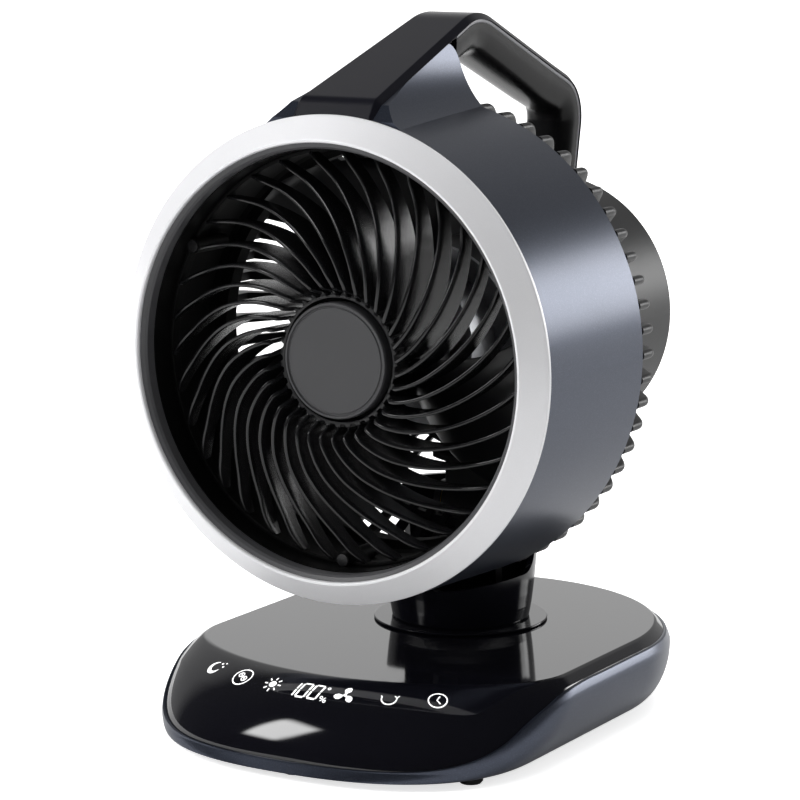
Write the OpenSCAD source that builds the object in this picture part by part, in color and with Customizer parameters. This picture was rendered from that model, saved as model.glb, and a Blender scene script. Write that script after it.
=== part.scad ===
// Portable camping fan: a drum head with a spiral-vane front grille and a carry handle,
// tilting on a short neck that turns on a wedge-fronted battery base.
// Axes: +X to the fan's left-hand side as it faces -Y, +Z up, z = 0 on the rest surface.
// Head parts are drawn in a head frame whose +Z points forwards along the fan's axis, with
// distances measured ahead of the neck axis.

/* [Base] */
// Height of the base body from its underside to its flat top
base_h = 31; // [29:0.5:40]
// Half of the base's width at its widest line
base_half_w = 87.5; // [86:0.5:96]
// Half of the base's width at its underside
base_foot_half_w = 75.5; // [74:0.5:80]
// Reach of the base ahead of the neck axis
base_reach = 143; // [140:1:155]
// Reach of the flat top ahead of the neck axis
deck_reach = 112; // [108:1:118]
// Height of the lip of the lower shell at the front of the base
front_lip_h = 4; // [3:0.5:6]
// Wall of the base shell and of its cover
base_wall = 2.4; // [2:0.1:3]
// Width of the shell's edge that shows round the cover
rim_w = 1.2; // [0.8:0.1:1.5]
// Height of the rubber feet below the shell
foot_h = 3; // [2:0.5:6]
// Radius of a rubber foot
foot_r = 5; // [4:0.5:6]

/* [Battery] */
// Diameter of one cell
cell_d = 18.4; // [18:0.1:19]
// Length of one cell
cell_len = 65; // [60:1:66]

/* [Turntable] */
// Radius of the turntable's disc on the deck
disc_r = 36.2; // [34:0.2:40]
// Thickness of the turntable's disc
disc_t = 1.6; // [1.2:0.1:3]
// Radius of the turntable's spigot, which turns in the bush
spigot_r = 26; // [24:0.5:28]
// Radial clearance of the parts that turn or slide in each other
run_gap = 0.05; // [0.02:0.01:0.1]
// Free gap between parts that move past each other
free_gap = 0.4; // [0.3:0.05:0.6]
// Gear module of the pan drive
gear_module = 1; // [0.8:0.1:1.1]
// Teeth of the pan ring gear
gear_teeth = 60; // [60:2:64]
// Teeth of the pan pinion
pinion_teeth = 12; // [12:1:14]
// Face width of the pan gears
gear_face = 5; // [4:0.5:6]

/* [Neck] */
// Radius of the neck at its foot
neck_r = 27.8; // [26:0.2:30]
// Radius of the neck at its top
neck_top_r = 33.4; // [32:0.2:35]
// Wall of the neck
neck_wall = 2.6; // [2:0.1:3.2]
// Height of the neck's top above the deck
neck_h = 55; // [52:1:57]
// Gap between the drum and the hollow of the neck's front
saddle_gap = 7.2; // [6.4:0.2:8.6]
// Height of the tilt axis above the deck
tilt_h = 46; // [44:0.5:48]
// Distance of the tilt axis behind the neck axis
tilt_back = 14; // [12:0.5:15]
// Diameter of the tilt pin
tilt_pin_d = 8; // [6:0.5:9]

/* [Head] */
// Height of the drum's underside above the deck
drum_clear = 24.4; // [23.4:0.5:28.4]
// Distance of the bezel's outer edge ahead of the neck axis
bezel_ahead = 104.4; // [100:0.5:108]
// Outer radius of the bezel
bezel_r = 95; // [94:0.2:96]
// Width of the bezel's face across
bezel_w = 10.2; // [9:0.2:11]
// Distance that the bezel's lip stands ahead of its outer edge
lip_rise = 6.5; // [4:0.5:8]
// Length of the drum behind the bezel
drum_len = 74.6; // [72:0.5:78]
// Growth of the drum's radius from the bezel to its rear edge
drum_flare = 2.6; // [1.6:0.2:3.4]
// Wall of the drum
drum_wall = 2.4; // [2:0.1:3]
// Width of the dark ring between the bezel's lip and the air duct
ring_w = 2.8; // [2.4:0.1:3.8]
// Step from the duct's wall in to its throat
throat_step = 3.6; // [2.5:0.1:4]
// Wall of the air duct
duct_wall = 2.2; // [1.6:0.1:2.6]

/* [Front grille] */
// Number of spiral vanes
vane_count = 35; // [25:1:40]
// Thickness of a vane
vane_t = 1.5; // [1.2:0.1:1.8]
// Angle that a vane sweeps from the hub to the rim
vane_sweep = 48; // [40:1:54]
// Radius of the grille's hub ring
hub_ring_r = 26.4; // [25:0.2:28]
// Distance of the vane crowns ahead of the bezel's outer edge
vane_crown = 1.4; // [0:0.2:3]
// Radius of the medallion
medallion_r = 22.8; // [21:0.2:23.4]

/* [Impeller] */
// Number of impeller blades
blade_count = 3; // [3:1:4]
// Gap between the blade tips and the throat
tip_gap = 2.8; // [2.4:0.2:4.4]
// Radius of the impeller's hub
impeller_hub_r = 23.4; // [22:0.2:25]
// Diameter of the motor shaft
shaft_d = 8; // [6:0.5:9]

/* [Rear] */
// Number of ribs of the rear grille
rib_count = 62; // [56:1:66]
// Thickness of a rear rib at the drum
rib_t = 3.8; // [2.6:0.2:4]
// Thickness of a rear rib at the motor housing
rib_root_t = 1.8; // [1.4:0.1:2.4]
// Length of the rear ribs behind the drum, before their corner
rib_straight = 6.2; // [5:0.2:8]
// Angle at which the rear ribs slope back from the drum to the housing
cage_angle = 45; // [40:1:48]
// Radius of the motor housing
housing_r = 56.4; // [54:0.2:58]
// Distance of the housing's rear face behind the neck axis
housing_back = 82; // [80:0.5:86]
// Wall of the motor housing
housing_wall = 2.4; // [2:0.1:3]

/* [Handle] */
// Half of the width of the strip's flat top at the front
handle_half_w = 16.7; // [15:0.1:18]
// Half of the width of the strip's flat top at the rear leg
leg_half_w = 9.5; // [9:0.1:11]
// Thickness of the handle's top strip
strip_t = 2.4; // [2:0.1:3]
// Thickness of the trim below the strip
trim_t = 2.8; // [2:0.1:3.4]
// Depth of the hand grip below the trim
grip_t = 11.5; // [10:0.5:13]
// Depth of the grip where it becomes the rear leg
leg_t = 8.6; // [7:0.2:10]
// Half of the fin's width below the handle
fin_waist = 13.5; // [13:0.1:14]
// Height of the handle's crest above the bezel's rim
handle_rise = 35; // [32:0.5:37]

/* [Hidden] */
$fn = 96;
eps = 0.01;

// Places that the driving sizes give
deck_z = foot_h + base_h;
drum_rear_r = bezel_r + drum_flare;
lip_r = bezel_r - bezel_w;
duct_r = lip_r - ring_w;
throat_r = duct_r - throat_step;
blade_tip_r = throat_r - tip_gap;
saddle_r = drum_rear_r + saddle_gap;
crest_h = bezel_r + handle_rise;
axis_z = deck_z + drum_rear_r + drum_clear;
neck_y = (base_reach - base_half_w) / 2;
tilt_z = deck_z + tilt_h;
drum_rear = bezel_ahead - drum_len;
lip_ahead = bezel_ahead + lip_rise;
grille_back = bezel_ahead - 17;
throat_front = drum_rear + 28;
duct_rear = drum_rear + 20;
duct_flange_r = bezel_r - drum_wall - 2.3;
duct_seat_r = bezel_r - drum_wall - 0.2;
plate_front = drum_rear - 5.5;
// Outer corner of the rear ribs, and where their slope meets the housing
rib_r = drum_rear_r + 0.3;
rib_corner = 9;
corner_end = [rib_r - rib_corner + rib_corner * sin(cage_angle), drum_rear - rib_straight - rib_corner * cos(cage_angle)];
function cage_ahead(r) = corner_end[1] - (corner_end[0] - r) * tan(cage_angle);
cage_rear = cage_ahead(housing_r);
cage_seat = cage_rear + 4;
blade_rear = duct_rear + 3;
blade_front = grille_back - 3;
hub_nose = grille_back - 1.6;
board_gap = 6;
gear_pitch_r = gear_module * gear_teeth / 2;
pinion_pitch_r = gear_module * pinion_teeth / 2;
pinion_y = gear_pitch_r + pinion_pitch_r;

// ---- Shared helpers -------------------------------------------------------------------

// Places children in the head frame: +Z forwards along the fan's axis, +Y up
module head_frame() {
    translate([0, neck_y, axis_z]) rotate([90, 0, 0]) children();
}

// A round solid of the head, turned about the fan's axis from [radius, distance ahead] points
module head_turned(points) {
    head_frame() rotate_extrude() polygon(points);
}

// A plain ring of the head between two radii and two distances ahead
module head_ring(r_in, r_out, from, to) {
    head_turned([[r_in, from], [r_out, from], [r_out, to], [r_in, to]]);
}

// Places children at the neck axis with z = 0 on the deck
module at_neck() {
    translate([0, neck_y, deck_z]) children();
}

// Closed solid through a stack of rings that have the same number of points, each ring
// running anticlockwise as seen from the last one
module skin(rings) {
    m = len(rings[0]);
    n = len(rings);
    polyhedron(
        points = [for (ring = rings) each ring],
        faces = concat(
            [[for (i = [0:m - 1]) i]],
            [[for (i = [m - 1:-1:0]) (n - 1) * m + i]],
            [for (k = [0:n - 2], i = [0:m - 1]) [k * m + i, (k + 1) * m + i, k * m + (i + 1) % m]],
            [for (k = [0:n - 2], i = [0:m - 1])
                [(k + 1) * m + i, (k + 1) * m + (i + 1) % m, k * m + (i + 1) % m]]
        )
    );
}

// Value between the stops of a table of [position, value] pairs
function between(table, x) =
    let (k = max([0, for (i = [0:len(table) - 2]) if (table[i][0] <= x) i]))
    let (a = table[k], b = table[k + 1])
    a[1] + (b[1] - a[1]) * min(1, max(0, (x - a[0]) / (b[0] - a[0])));

// ---- Base ------------------------------------------------------------------------------

// Outline of the base at a height above its underside, drawn in by an inset all round.
// The rear is a half circle about the neck axis and the front is a superellipse.
belly_h = base_h * 0.74;
deck_narrowing = 3.5;
function base_width_at(h) =
    h < belly_h ? base_foot_half_w
        + (base_half_w - base_foot_half_w) * pow(1 - pow(1 - h / belly_h, 2), 1 / 1.8)
    : base_half_w - deck_narrowing * pow((h - belly_h) / (base_h - belly_h), 1.2);
apron_rise = base_h - front_lip_h;
apron_run = base_reach - 1.5 - deck_reach;
apron_power = 1.65;
function base_reach_at(h) =
    h < front_lip_h ? base_reach - 1.5 * h / front_lip_h
    : deck_reach + apron_run * pow(max(0, 1 - pow((h - front_lip_h) / apron_rise, apron_power)),
                                   1 / apron_power);
function straight_at(h) = 85 - 25 * h / base_h;
function front_power_at(h) = 2.4 - 0.5 * h / base_h;
outline_steps = 22;
function base_outline(h, inset) =
    let (w = base_width_at(h) - inset, reach = base_reach_at(h) - inset, c = straight_at(h))
    let (p = 2 / front_power_at(h))
    [
        for (i = [0:outline_steps]) let (a = 180 * i / outline_steps)
            [w * cos(a), neck_y + w * sin(a), foot_h + h],
        for (i = [0:outline_steps + 6]) let (a = 180 * i / (outline_steps + 6))
            [-w * sign(cos(a)) * pow(abs(cos(a)), p), neck_y - c - (reach - c) * pow(sin(a), p),
             foot_h + h]
    ];

// Levels of the outline as shares of the base's height, closest where it curves the most
stations = [0, 0.026, 0.072, 0.13, 0.215, 0.32, 0.45, 0.6, 0.74, 0.84, 0.91, 0.96, 0.985, 1];
module base_body(from, to, inset) {
    levels = concat([from], [for (s = stations) if (s * base_h > from + 0.2 && s * base_h < to - 0.2) s * base_h], [to]);
    skin([for (h = levels) base_outline(h, inset)]);
}

// Side view of the line where the cover meets the shell, as [distance ahead, height]
part_line = [[-base_half_w - 5, base_h - 5], [70, base_h - 5], [80, base_h - 7], [94, base_h - 12.5],
             [103, base_h - 17.5], [112, base_h - 21.5], [126, front_lip_h + 1.5],
             [base_reach + 5, front_lip_h]];

// Everything above the parting line, or below it when it is turned over
module above_parting(lift) {
    outline = concat(
        [for (p = part_line) [neck_y - p[0], foot_h + p[1] + lift]],
        [[neck_y - base_reach - 5, foot_h + base_h + 5], [neck_y + base_half_w + 5, foot_h + base_h + 5]]
    );
    translate([-base_half_w - 5, 0, 0])
        rotate([90, 0, 90]) linear_extrude(2 * base_half_w + 10) polygon(outline);
}

// Screws that hold the cover to the shell, as [x, distance ahead]
base_screw_places = [[-58, -28], [58, -28], [-64, 18], [64, 18], [-50, 90], [50, 90]];
screw_r = 1.5;
boss_r = 4;
boss_split_h = 9;
module at_base_screws() {
    for (p = base_screw_places) translate([p[0], neck_y - p[1], foot_h]) children();
}

foot_places = [[0, 131], [-65, 108.5], [65, 108.5], [-48, -46], [48, -46]];
foot_seat = 1;
module at_feet() {
    for (p = foot_places) translate([p[0], neck_y - p[1], 0]) children();
}

port_h = 12;
port_size = [9.2, 7.4, 3.4];
port_y = neck_y + base_width_at(port_h) - 1.2;
port_gap = 0.2;
board_t = 1.6;
port_seat = port_h - port_size[2] / 2 - board_t;
board_h = 6;
board_place = [-base_half_w + 11.5, -12];
board_size = [30, 32];
touch_h = 19;
touch_size = [104, 14];
touch_ahead = 112;

// Places children on the shell's floor level under each hole of the control board
module at_board_posts() {
    for (x = [3, board_size[0] - 3], y = [3, board_size[1] - 3])
        translate([board_place[0] + x, neck_y + board_place[1] + y, foot_h]) children();
}

module base_shell() {
    color("#41454f") difference() {
        union() {
            difference() {
                base_body(0, base_h - 4, 0);
                above_parting(0);
                base_body(base_wall, base_h, base_wall);
            }
            at_base_screws() translate([0, 0, base_wall - eps])
                cylinder(r = boss_r, h = boss_split_h - base_wall + eps);
            // cup of the pan motor, posts of the control board, seat of the port's board
            translate([0, neck_y + pinion_y, foot_h + base_wall - eps])
                cylinder(r = pan_motor_r + 2.4, h = motor_seat + 3 - base_wall);
            at_board_posts() {
                cylinder(r = 2.6, h = board_h);
                cylinder(r = 1.15, h = board_h + board_t + 0.8);
            }
            translate([-8, port_y - port_size[1] - 4, foot_h + base_wall - eps])
                cube([16, neck_y + base_width_at(base_wall) - 0.8 - port_y + port_size[1] + 4,
                      port_seat - base_wall + eps]);
        }
        at_base_screws() {
            translate([0, 0, -1]) cylinder(r = screw_r, h = boss_split_h + 2);
            translate([0, 0, -1]) cylinder(r = 3, h = 3.2);
        }
        at_feet() translate([0, 0, foot_h - 1]) cylinder(r = foot_r, h = foot_seat + 1);
        translate([0, neck_y + pinion_y, foot_h + motor_seat]) cylinder(r = pan_motor_r + run_gap, h = 20);
        translate([0, port_y + port_gap, foot_h + port_h])
            cube([port_size[0] + 2 * port_gap, 14, port_size[2] + 2 * port_gap], center = true);
    }
}

module base_cover() {
    color("#101015") difference() {
        union() {
            difference() {
                intersection() {
                    base_body(2, base_h, rim_w);
                    above_parting(0);
                }
                base_body(0.5, base_h - base_wall, rim_w + base_wall);
            }
            // posts that press the touch board's corners against the cover
            for (x = [-1, 1], y = [0, 1])
                translate([x * (touch_size[0] / 2 - 5), neck_y - touch_ahead + 4 + y * (touch_size[1] - 8),
                           foot_h + touch_h + board_t]) cylinder(r = 2.6, h = base_h - base_wall + 0.5 - touch_h - board_t);
            at_base_screws() translate([0, 0, boss_split_h])
                cylinder(r = boss_r, h = base_h - base_wall / 2 - boss_split_h);
        }
        at_neck() translate([0, 0, -base_h]) cylinder(r = bush_r, h = 2 * base_h);
        at_base_screws() translate([0, 0, boss_split_h - 1]) cylinder(r = screw_r, h = 9);
    }
}

module rubber_feet() {
    color("#1c1c1e") at_feet() {
        cylinder(r1 = foot_r - 1, r2 = foot_r - 0.2, h = 1);
        translate([0, 0, 1 - eps]) cylinder(r = foot_r - 0.2, h = foot_h + foot_seat - 1 + eps);
    }
}

module base_screws() {
    color("#8a8d92") at_base_screws() {
        translate([0, 0, 0.2]) cylinder(r = 2.8, h = 2);
        translate([0, 0, 2.2 - eps]) cylinder(r = screw_r - run_gap, h = 14);
    }
}

// Four cells lie across the base in two rows ahead of the turntable
cell_rows = [52, 72];
cell_h = base_wall + 1.6 + cell_d / 2;
module at_cells() {
    for (row = cell_rows, side = [-1, 1])
        translate([side * (cell_len / 2 + 0.6), neck_y - row, foot_h + cell_h])
            rotate([0, 90, 0]) children();
}
module battery_cells() {
    color("#3d7a55") at_cells() {
        cylinder(r = cell_d / 2, h = cell_len - 1.2, center = true);
        cylinder(r = 3, h = cell_len, center = true);
    }
}
module battery_cradle() {
    length = 2 * cell_len + 5.4;
    color("#26272b") difference() {
        translate([-length / 2, neck_y - cell_rows[1] - cell_d / 2 - 1.4, foot_h + base_wall])
            cube([length, cell_rows[1] - cell_rows[0] + cell_d + 2.8, 8]);
        for (row = cell_rows) translate([0, neck_y - row, foot_h + cell_h])
            rotate([0, 90, 0]) cylinder(r = cell_d / 2 + run_gap, h = 2 * cell_len + 1.6, center = true);
    }
}

module control_board() {
    color("#1f5138") difference() {
        translate([board_place[0], neck_y + board_place[1], foot_h + board_h])
            cube([board_size[0], board_size[1], board_t]);
        at_board_posts() cylinder(r = 1.2, h = 20);
    }
    color("#222222") translate([board_place[0] + 8, neck_y + board_place[1] + 11, foot_h + board_h + board_t])
        cube([12, 10, 2.4]);
}
module touch_board() {
    color("#1f5138") translate([-touch_size[0] / 2, neck_y - touch_ahead, foot_h + touch_h])
        cube([touch_size[0], touch_size[1], board_t]);
}
module display_block() {
    color("#2b2b2e") translate([-11, neck_y - touch_ahead + 0.5, foot_h + touch_h + board_t])
        cube([22, touch_size[1] - 1, 2.6]);
}
module charge_port() {
    color("#9a9da3") translate([0, port_y, foot_h + port_h]) rotate([90, 0, 0]) difference() {
        linear_extrude(port_size[1]) offset_box(port_size[0], port_size[2], 1.6);
        translate([0, 0, -1]) linear_extrude(port_size[1] - 0.8) offset_box(8.4, 2.6, 1.2);
    }
    color("#222222") translate([0, port_y - 3, foot_h + port_h]) cube([6.6, 5.4, 0.7], center = true);
    color("#1f5138") translate([-8, port_y - port_size[1] - 4, foot_h + port_h - port_size[2] / 2 - board_t])
        cube([16, port_size[1] + 3 - base_wall, board_t]);
}

// Rounded rectangle about the origin
module offset_box(w, h, r) {
    union() {
        square([w, h - 2 * r], center = true);
        square([w - 2 * r, h], center = true);
        for (x = [-1, 1], y = [-1, 1]) translate([x * (w / 2 - r), y * (h / 2 - r)]) circle(r = r, $fn = 32);
    }
}

// ---- Pan drive -------------------------------------------------------------------------

pan_motor_r = 14;
bush_r = spigot_r + 3;
bush_flange_t = 1.6;
bush_depth = base_wall + bush_flange_t;
gear_top = -bush_depth - free_gap;
gear_bottom = gear_top - gear_face;
pan_motor_h = 13;
motor_gap = 2.4;
motor_top = gear_bottom - motor_gap;
motor_seat = base_h + motor_top - pan_motor_h;

// Places children with z = 0 at the top of the pan motor's can
module at_motor() {
    at_neck() translate([0, pinion_y, motor_top]) children();
}
module pan_motor() {
    color("#8f9298") at_motor() {
        translate([0, 0, -pan_motor_h]) cylinder(r = pan_motor_r, h = pan_motor_h);
        cylinder(r = 3.5, h = 0.9);
        translate([-17, -3, -1.4]) cube([34, 6, 1]);
    }
    color("#3f7fc0") at_motor() translate([-7, pan_motor_r - 1, -pan_motor_h + 3.4]) cube([14, 5, 6.6]);
    color("#c9a24a") at_motor() cylinder(r = 2, h = motor_gap + gear_face);
}

// Involute tooth outline: points of one flank between two radii
function involute_at(base_radius, r) =
    let (t = sqrt(max(0, pow(r / base_radius, 2) - 1))) t * 180 / PI - atan(t);
function gear_points(teeth, mod, backlash) =
    let (pitch = teeth * mod / 2, base_radius = pitch * cos(20))
    let (root = pitch - 1.2 * mod, tip = pitch + 0.9 * mod, start = max(root, base_radius))
    let (half = 90 / teeth - backlash / pitch * 45 / PI + involute_at(base_radius, pitch))
    let (radii = [for (i = [0:4]) start + (tip - start) * i / 4])
    [for (k = [0:teeth - 1]) let (mid = 360 * k / teeth) each concat(
        [root * [cos(mid - half), sin(mid - half)]],
        [for (r = radii) let (a = mid - half + involute_at(base_radius, r)) r * [cos(a), sin(a)]],
        [for (i = [4:-1:0]) let (r = radii[i], a = mid + half - involute_at(base_radius, r))
            r * [cos(a), sin(a)]],
        [root * [cos(mid + half), sin(mid + half)]])];
gear_backlash = 0.3;

module pan_pinion() {
    phase = pinion_teeth % 2 == 0 ? 180 / pinion_teeth : 0;
    color("#d8d4c8") at_motor() translate([0, 0, gear_bottom - motor_top]) difference() {
        rotate([0, 0, 90 + phase])
            linear_extrude(gear_face) polygon(gear_points(pinion_teeth, gear_module, gear_backlash));
        translate([0, 0, -1]) cylinder(r = 2 + run_gap, h = gear_face + 2);
    }
}
gear_screw_r = 20.5;
module at_gear_screws() {
    at_neck() for (a = [45:90:315]) rotate([0, 0, a]) translate([gear_screw_r, 0, 0]) children();
}
module pan_gear() {
    color("#d8d4c8") difference() {
        at_neck() translate([0, 0, gear_bottom]) rotate([0, 0, 90]) difference() {
            linear_extrude(gear_face) polygon(gear_points(gear_teeth, gear_module, gear_backlash));
            translate([0, 0, -1]) cylinder(r = cable_r, h = gear_face + 2);
        }
        at_gear_screws() translate([0, 0, gear_bottom - 1]) cylinder(r = 1.5, h = gear_face + 2);
    }
}
module pan_gear_screws() {
    color("#8a8d92") at_gear_screws() {
        translate([0, 0, gear_bottom - 1.6]) cylinder(r = 2.6, h = 1.6);
        translate([0, 0, gear_bottom - eps]) cylinder(r = 1.5 - run_gap, h = gear_face + 4);
    }
}
module pan_bush() {
    color("#e4e2da") at_neck() difference() {
        union() {
            translate([0, 0, -bush_depth]) cylinder(r = bush_r, h = bush_depth);
            translate([0, 0, -bush_depth]) cylinder(r = bush_r + 2.6, h = bush_flange_t);
        }
        translate([0, 0, -bush_depth - 1]) cylinder(r = spigot_r + run_gap, h = bush_depth + 2);
    }
}

// ---- Turntable and neck ------------------------------------------------------------------

cable_r = 12;
disc_top = free_gap + disc_t;
module turntable() {
    color("#141418") difference() {
        at_neck() difference() {
            union() {
                rotate_extrude() polygon([
                    [cable_r, free_gap], [disc_r, free_gap], [disc_r, disc_top - 0.5],
                    [disc_r - 0.5, disc_top], [cable_r, disc_top]]);
                translate([0, 0, gear_top]) cylinder(r = spigot_r, h = free_gap - gear_top + eps);
            }
            translate([0, 0, gear_top - 1]) cylinder(r = cable_r, h = 14);
        }
        at_gear_screws() translate([0, 0, gear_top - 1]) cylinder(r = 1.5, h = 5.4);
    }
}

// Outer radius of the neck at a height above the deck
function neck_radius(h) = neck_r + (neck_top_r - neck_r) * pow(min(1, max(0, h / neck_h)), 0.55);
neck_steps = 10;
neck_levels = [for (i = [0:neck_steps]) disc_top + (neck_h - disc_top) * i / neck_steps];
cheek_ahead = 2;
cheek_round = 9;
fork_half_w = 16.5;
fork_t = 3;
fork_r = 8.5;
knuckle_half_w = 12;
tilt_up = 35;
tilt_down = 6;

// Turns children with the head, front up, about the tilt axis
module tilted(angle) {
    translate([0, neck_y + tilt_back, tilt_z]) rotate([-angle, 0, 0])
        translate([0, -neck_y - tilt_back, -tilt_z]) children();
}
module neck_shell() {
    color("#0d0d10") difference() {
        at_neck() rotate_extrude() polygon(concat(
            [for (h = neck_levels) [neck_radius(h), h]],
            [for (i = [neck_steps:-1:0]) [neck_radius(neck_levels[i]) - neck_wall, neck_levels[i]]]));
        // hollow that follows the drum at the front and turns up into the cheeks
        head_turned(concat(
            [[0, 60], [saddle_r, 60]],
            [for (a = [0:10:90]) [saddle_r - cheek_round + cheek_round * cos(a),
                                  cheek_ahead - cheek_round * sin(a)]],
            [[0, cheek_ahead - cheek_round]]));
        // room for the housing when the head tilts right up
        tilted(tilt_up + 1) head_ring(0, housing_r + saddle_t + 1.6, -housing_back - 20, 40);
    }
}
module tilt_pin_hole(r, length) {
    translate([0, neck_y + tilt_back, tilt_z]) rotate([0, 90, 0]) cylinder(r = r, h = length, center = true);
}
module tilt_fork() {
    color("#9a9da3") difference() {
        intersection() {
            union() {
                translate([-fork_half_w, neck_y - neck_r, deck_z + disc_top])
                    cube([2 * fork_half_w, 2 * neck_r, fork_t]);
                for (side = [-1, 1])
                    translate([side * (fork_half_w - fork_t / 2) - fork_t / 2, neck_y + tilt_back, 0]) {
                        translate([0, -fork_r, deck_z + disc_top])
                            cube([fork_t, 2 * fork_r, tilt_h - disc_top]);
                        translate([0, 0, tilt_z]) rotate([0, 90, 0]) cylinder(r = fork_r, h = fork_t);
                    }
            }
            // its edges follow the inside of the neck
            at_neck() rotate_extrude() polygon(concat(
                [for (h = neck_levels) [neck_radius(h) - neck_wall - run_gap, h]],
                [[neck_top_r - neck_wall, neck_h + 20], [0, neck_h + 20], [0, disc_top]]));
        }
        tilt_pin_hole(tilt_pin_d / 2, 80);
        at_neck() cylinder(r = cable_r, h = 12);
    }
}
module tilt_pin() {
    color("#b5b8bd") {
        tilt_pin_hole(tilt_pin_d / 2, 2 * fork_half_w);
        translate([0, neck_y + tilt_back, tilt_z]) for (side = [-1, 1])
            translate([side * (fork_half_w + 0.9), 0, 0]) rotate([0, 90, 0])
                cylinder(r = tilt_pin_d / 2 + 1, h = 1.8, center = true);
    }
}
washer_t = fork_half_w - fork_t - knuckle_half_w - run_gap;
module tilt_washers() {
    color("#caa15c") difference() {
        for (side = [-1, 1])
            translate([side * (fork_half_w - fork_t - washer_t / 2), neck_y + tilt_back, tilt_z])
                rotate([0, 90, 0]) cylinder(r = fork_r - 0.5, h = washer_t, center = true);
        tilt_pin_hole(tilt_pin_d / 2, 80);
    }
}

// ---- Head --------------------------------------------------------------------------------

knuckle_r = 10;
web_half = 6;
saddle_t = 2.6;
saddle_half_w = 17;
wire_w = 9;
module tilt_knuckle() {
    color("#17171a") difference() {
        union() {
            translate([0, neck_y + tilt_back, tilt_z]) rotate([0, 90, 0])
                cylinder(r = knuckle_r, h = 2 * knuckle_half_w, center = true);
            translate([-knuckle_half_w, neck_y + tilt_back - web_half, tilt_z])
                cube([2 * knuckle_half_w, 2 * web_half, axis_z - housing_r + 2 - tilt_z]);
            // saddle that follows the housing
            intersection() {
                head_ring(housing_r - 1, housing_r + saddle_t, -tilt_back - 34, -tilt_back + 8);
                translate([-saddle_half_w, 0, tilt_z]) cube([2 * saddle_half_w, 100, 60]);
            }
        }
        tilt_pin_hole(tilt_pin_d / 2 + run_gap, 80);
        // way for the wires
        translate([-wire_w / 2, neck_y + tilt_back - 3, tilt_z + knuckle_r + 1])
            cube([wire_w, 6, 20]);
        head_ring(0, housing_r, -housing_back, bezel_ahead);
    }
}

// Handle path in side view: [distance ahead, height above the fan's axis] of its outer face
front_foot = [bezel_ahead, bezel_r - 1.6];
front_knee = [bezel_ahead - 7, bezel_r + 5.8];
crest = [8, crest_h + 2];
rear_knee = [-housing_back - 6.8, crest_h - 36];
leg_foot = [-housing_back + 2.7, housing_r - 10];
handle_turns = [[front_foot, 0], [front_knee, 4], [crest, 34], [rear_knee, 20], [leg_foot, 0]];

function unit(v) = v / norm(v);
// Points of a path with its corners rounded, as [point, unit tangent]
function rounded_corner(a, b, c, r, steps) =
    let (u = unit(a - b), v = unit(c - b), half = acos(min(1, max(-1, u * v))) / 2)
    let (t = r / tan(half), turn = 180 - 2 * half, d = r / sin(half))
    let (centre = b + unit(u + v) * d, start = b + u * t - centre)
    let (way = u[0] * v[1] - u[1] * v[0] > 0 ? -1 : 1)
    [for (i = [0:steps]) let (a1 = way * turn * i / steps)
        centre + [start[0] * cos(a1) - start[1] * sin(a1), start[0] * sin(a1) + start[1] * cos(a1)]];
function handle_points() = concat(
    [handle_turns[0][0]],
    [for (k = [1:len(handle_turns) - 2]) each rounded_corner(
        handle_turns[k - 1][0], handle_turns[k][0], handle_turns[k + 1][0], handle_turns[k][1],
        k == 1 ? 4 : 10)],
    [handle_turns[len(handle_turns) - 1][0]]);
handle_line = handle_points();
function tangent_at(line, i) =
    unit(line[min(len(line) - 1, i + 1)] - line[max(0, i - 1)]);
// Inward normal: the path runs from the front over the crest to the rear, the hand is inside it
function inward_at(line, i) = let (t = tangent_at(line, i)) [-t[1], t[0]];
function handle_width_at(ahead) =
    between([[-60, leg_half_w], [10, leg_half_w + 1.5], [bezel_ahead, handle_half_w]], ahead);
bevel = 2.4;
trim_flare = 1.9;

// Line that runs inside the outer face at a depth, as [distance ahead, height]
function inner_line(depth) =
    [for (i = [0:len(handle_line) - 1]) handle_line[i] + depth * inward_at(handle_line, i)];

// Band of the handle between two depths, whose half width grows by a flare at each depth
module handle_band(from, to, flare_from, flare_to) {
    head_frame() skin([for (i = [0:len(handle_line) - 1])
        let (p = handle_line[i], n = inward_at(handle_line, i), w = handle_width_at(p[0]))
        let (a = p + from * n, b = p + to * n)
        [[-w - flare_from, a[1], a[0]], [w + flare_from, a[1], a[0]],
         [w + flare_to, b[1], b[0]], [-w - flare_to, b[1], b[0]]]]);
}
fin_rear = drum_rear;
fin_round = 7.5;
// Rounded upper rear corner of the fin, in side view: from the strip's inner face to the fin's rear
fin_corner =
    let (u = unit(crest - front_knee), foot = front_knee + strip_t * [-u[1], u[0]])
    let (b = foot + u * (fin_rear - foot[0]) / u[0])
    rounded_corner(foot, b, [fin_rear, b[1] - 40], fin_round, 6);
// The space of the fin and all that lies in front of its corner, which the grip leaves free
module fin_space() {
    edge = [for (p = fin_corner) if (p[0] < fin_corner[0][0] - 1.5) p];
    translate([-40, 0, 0]) rotate([90, 0, 90]) linear_extrude(80) polygon(
        [for (p = concat([[edge[0][0], 250]], edge, [[fin_rear, 0], [250, 0], [250, 250]]))
            [neck_y - p[0], axis_z + p[1]]]);
}

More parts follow.
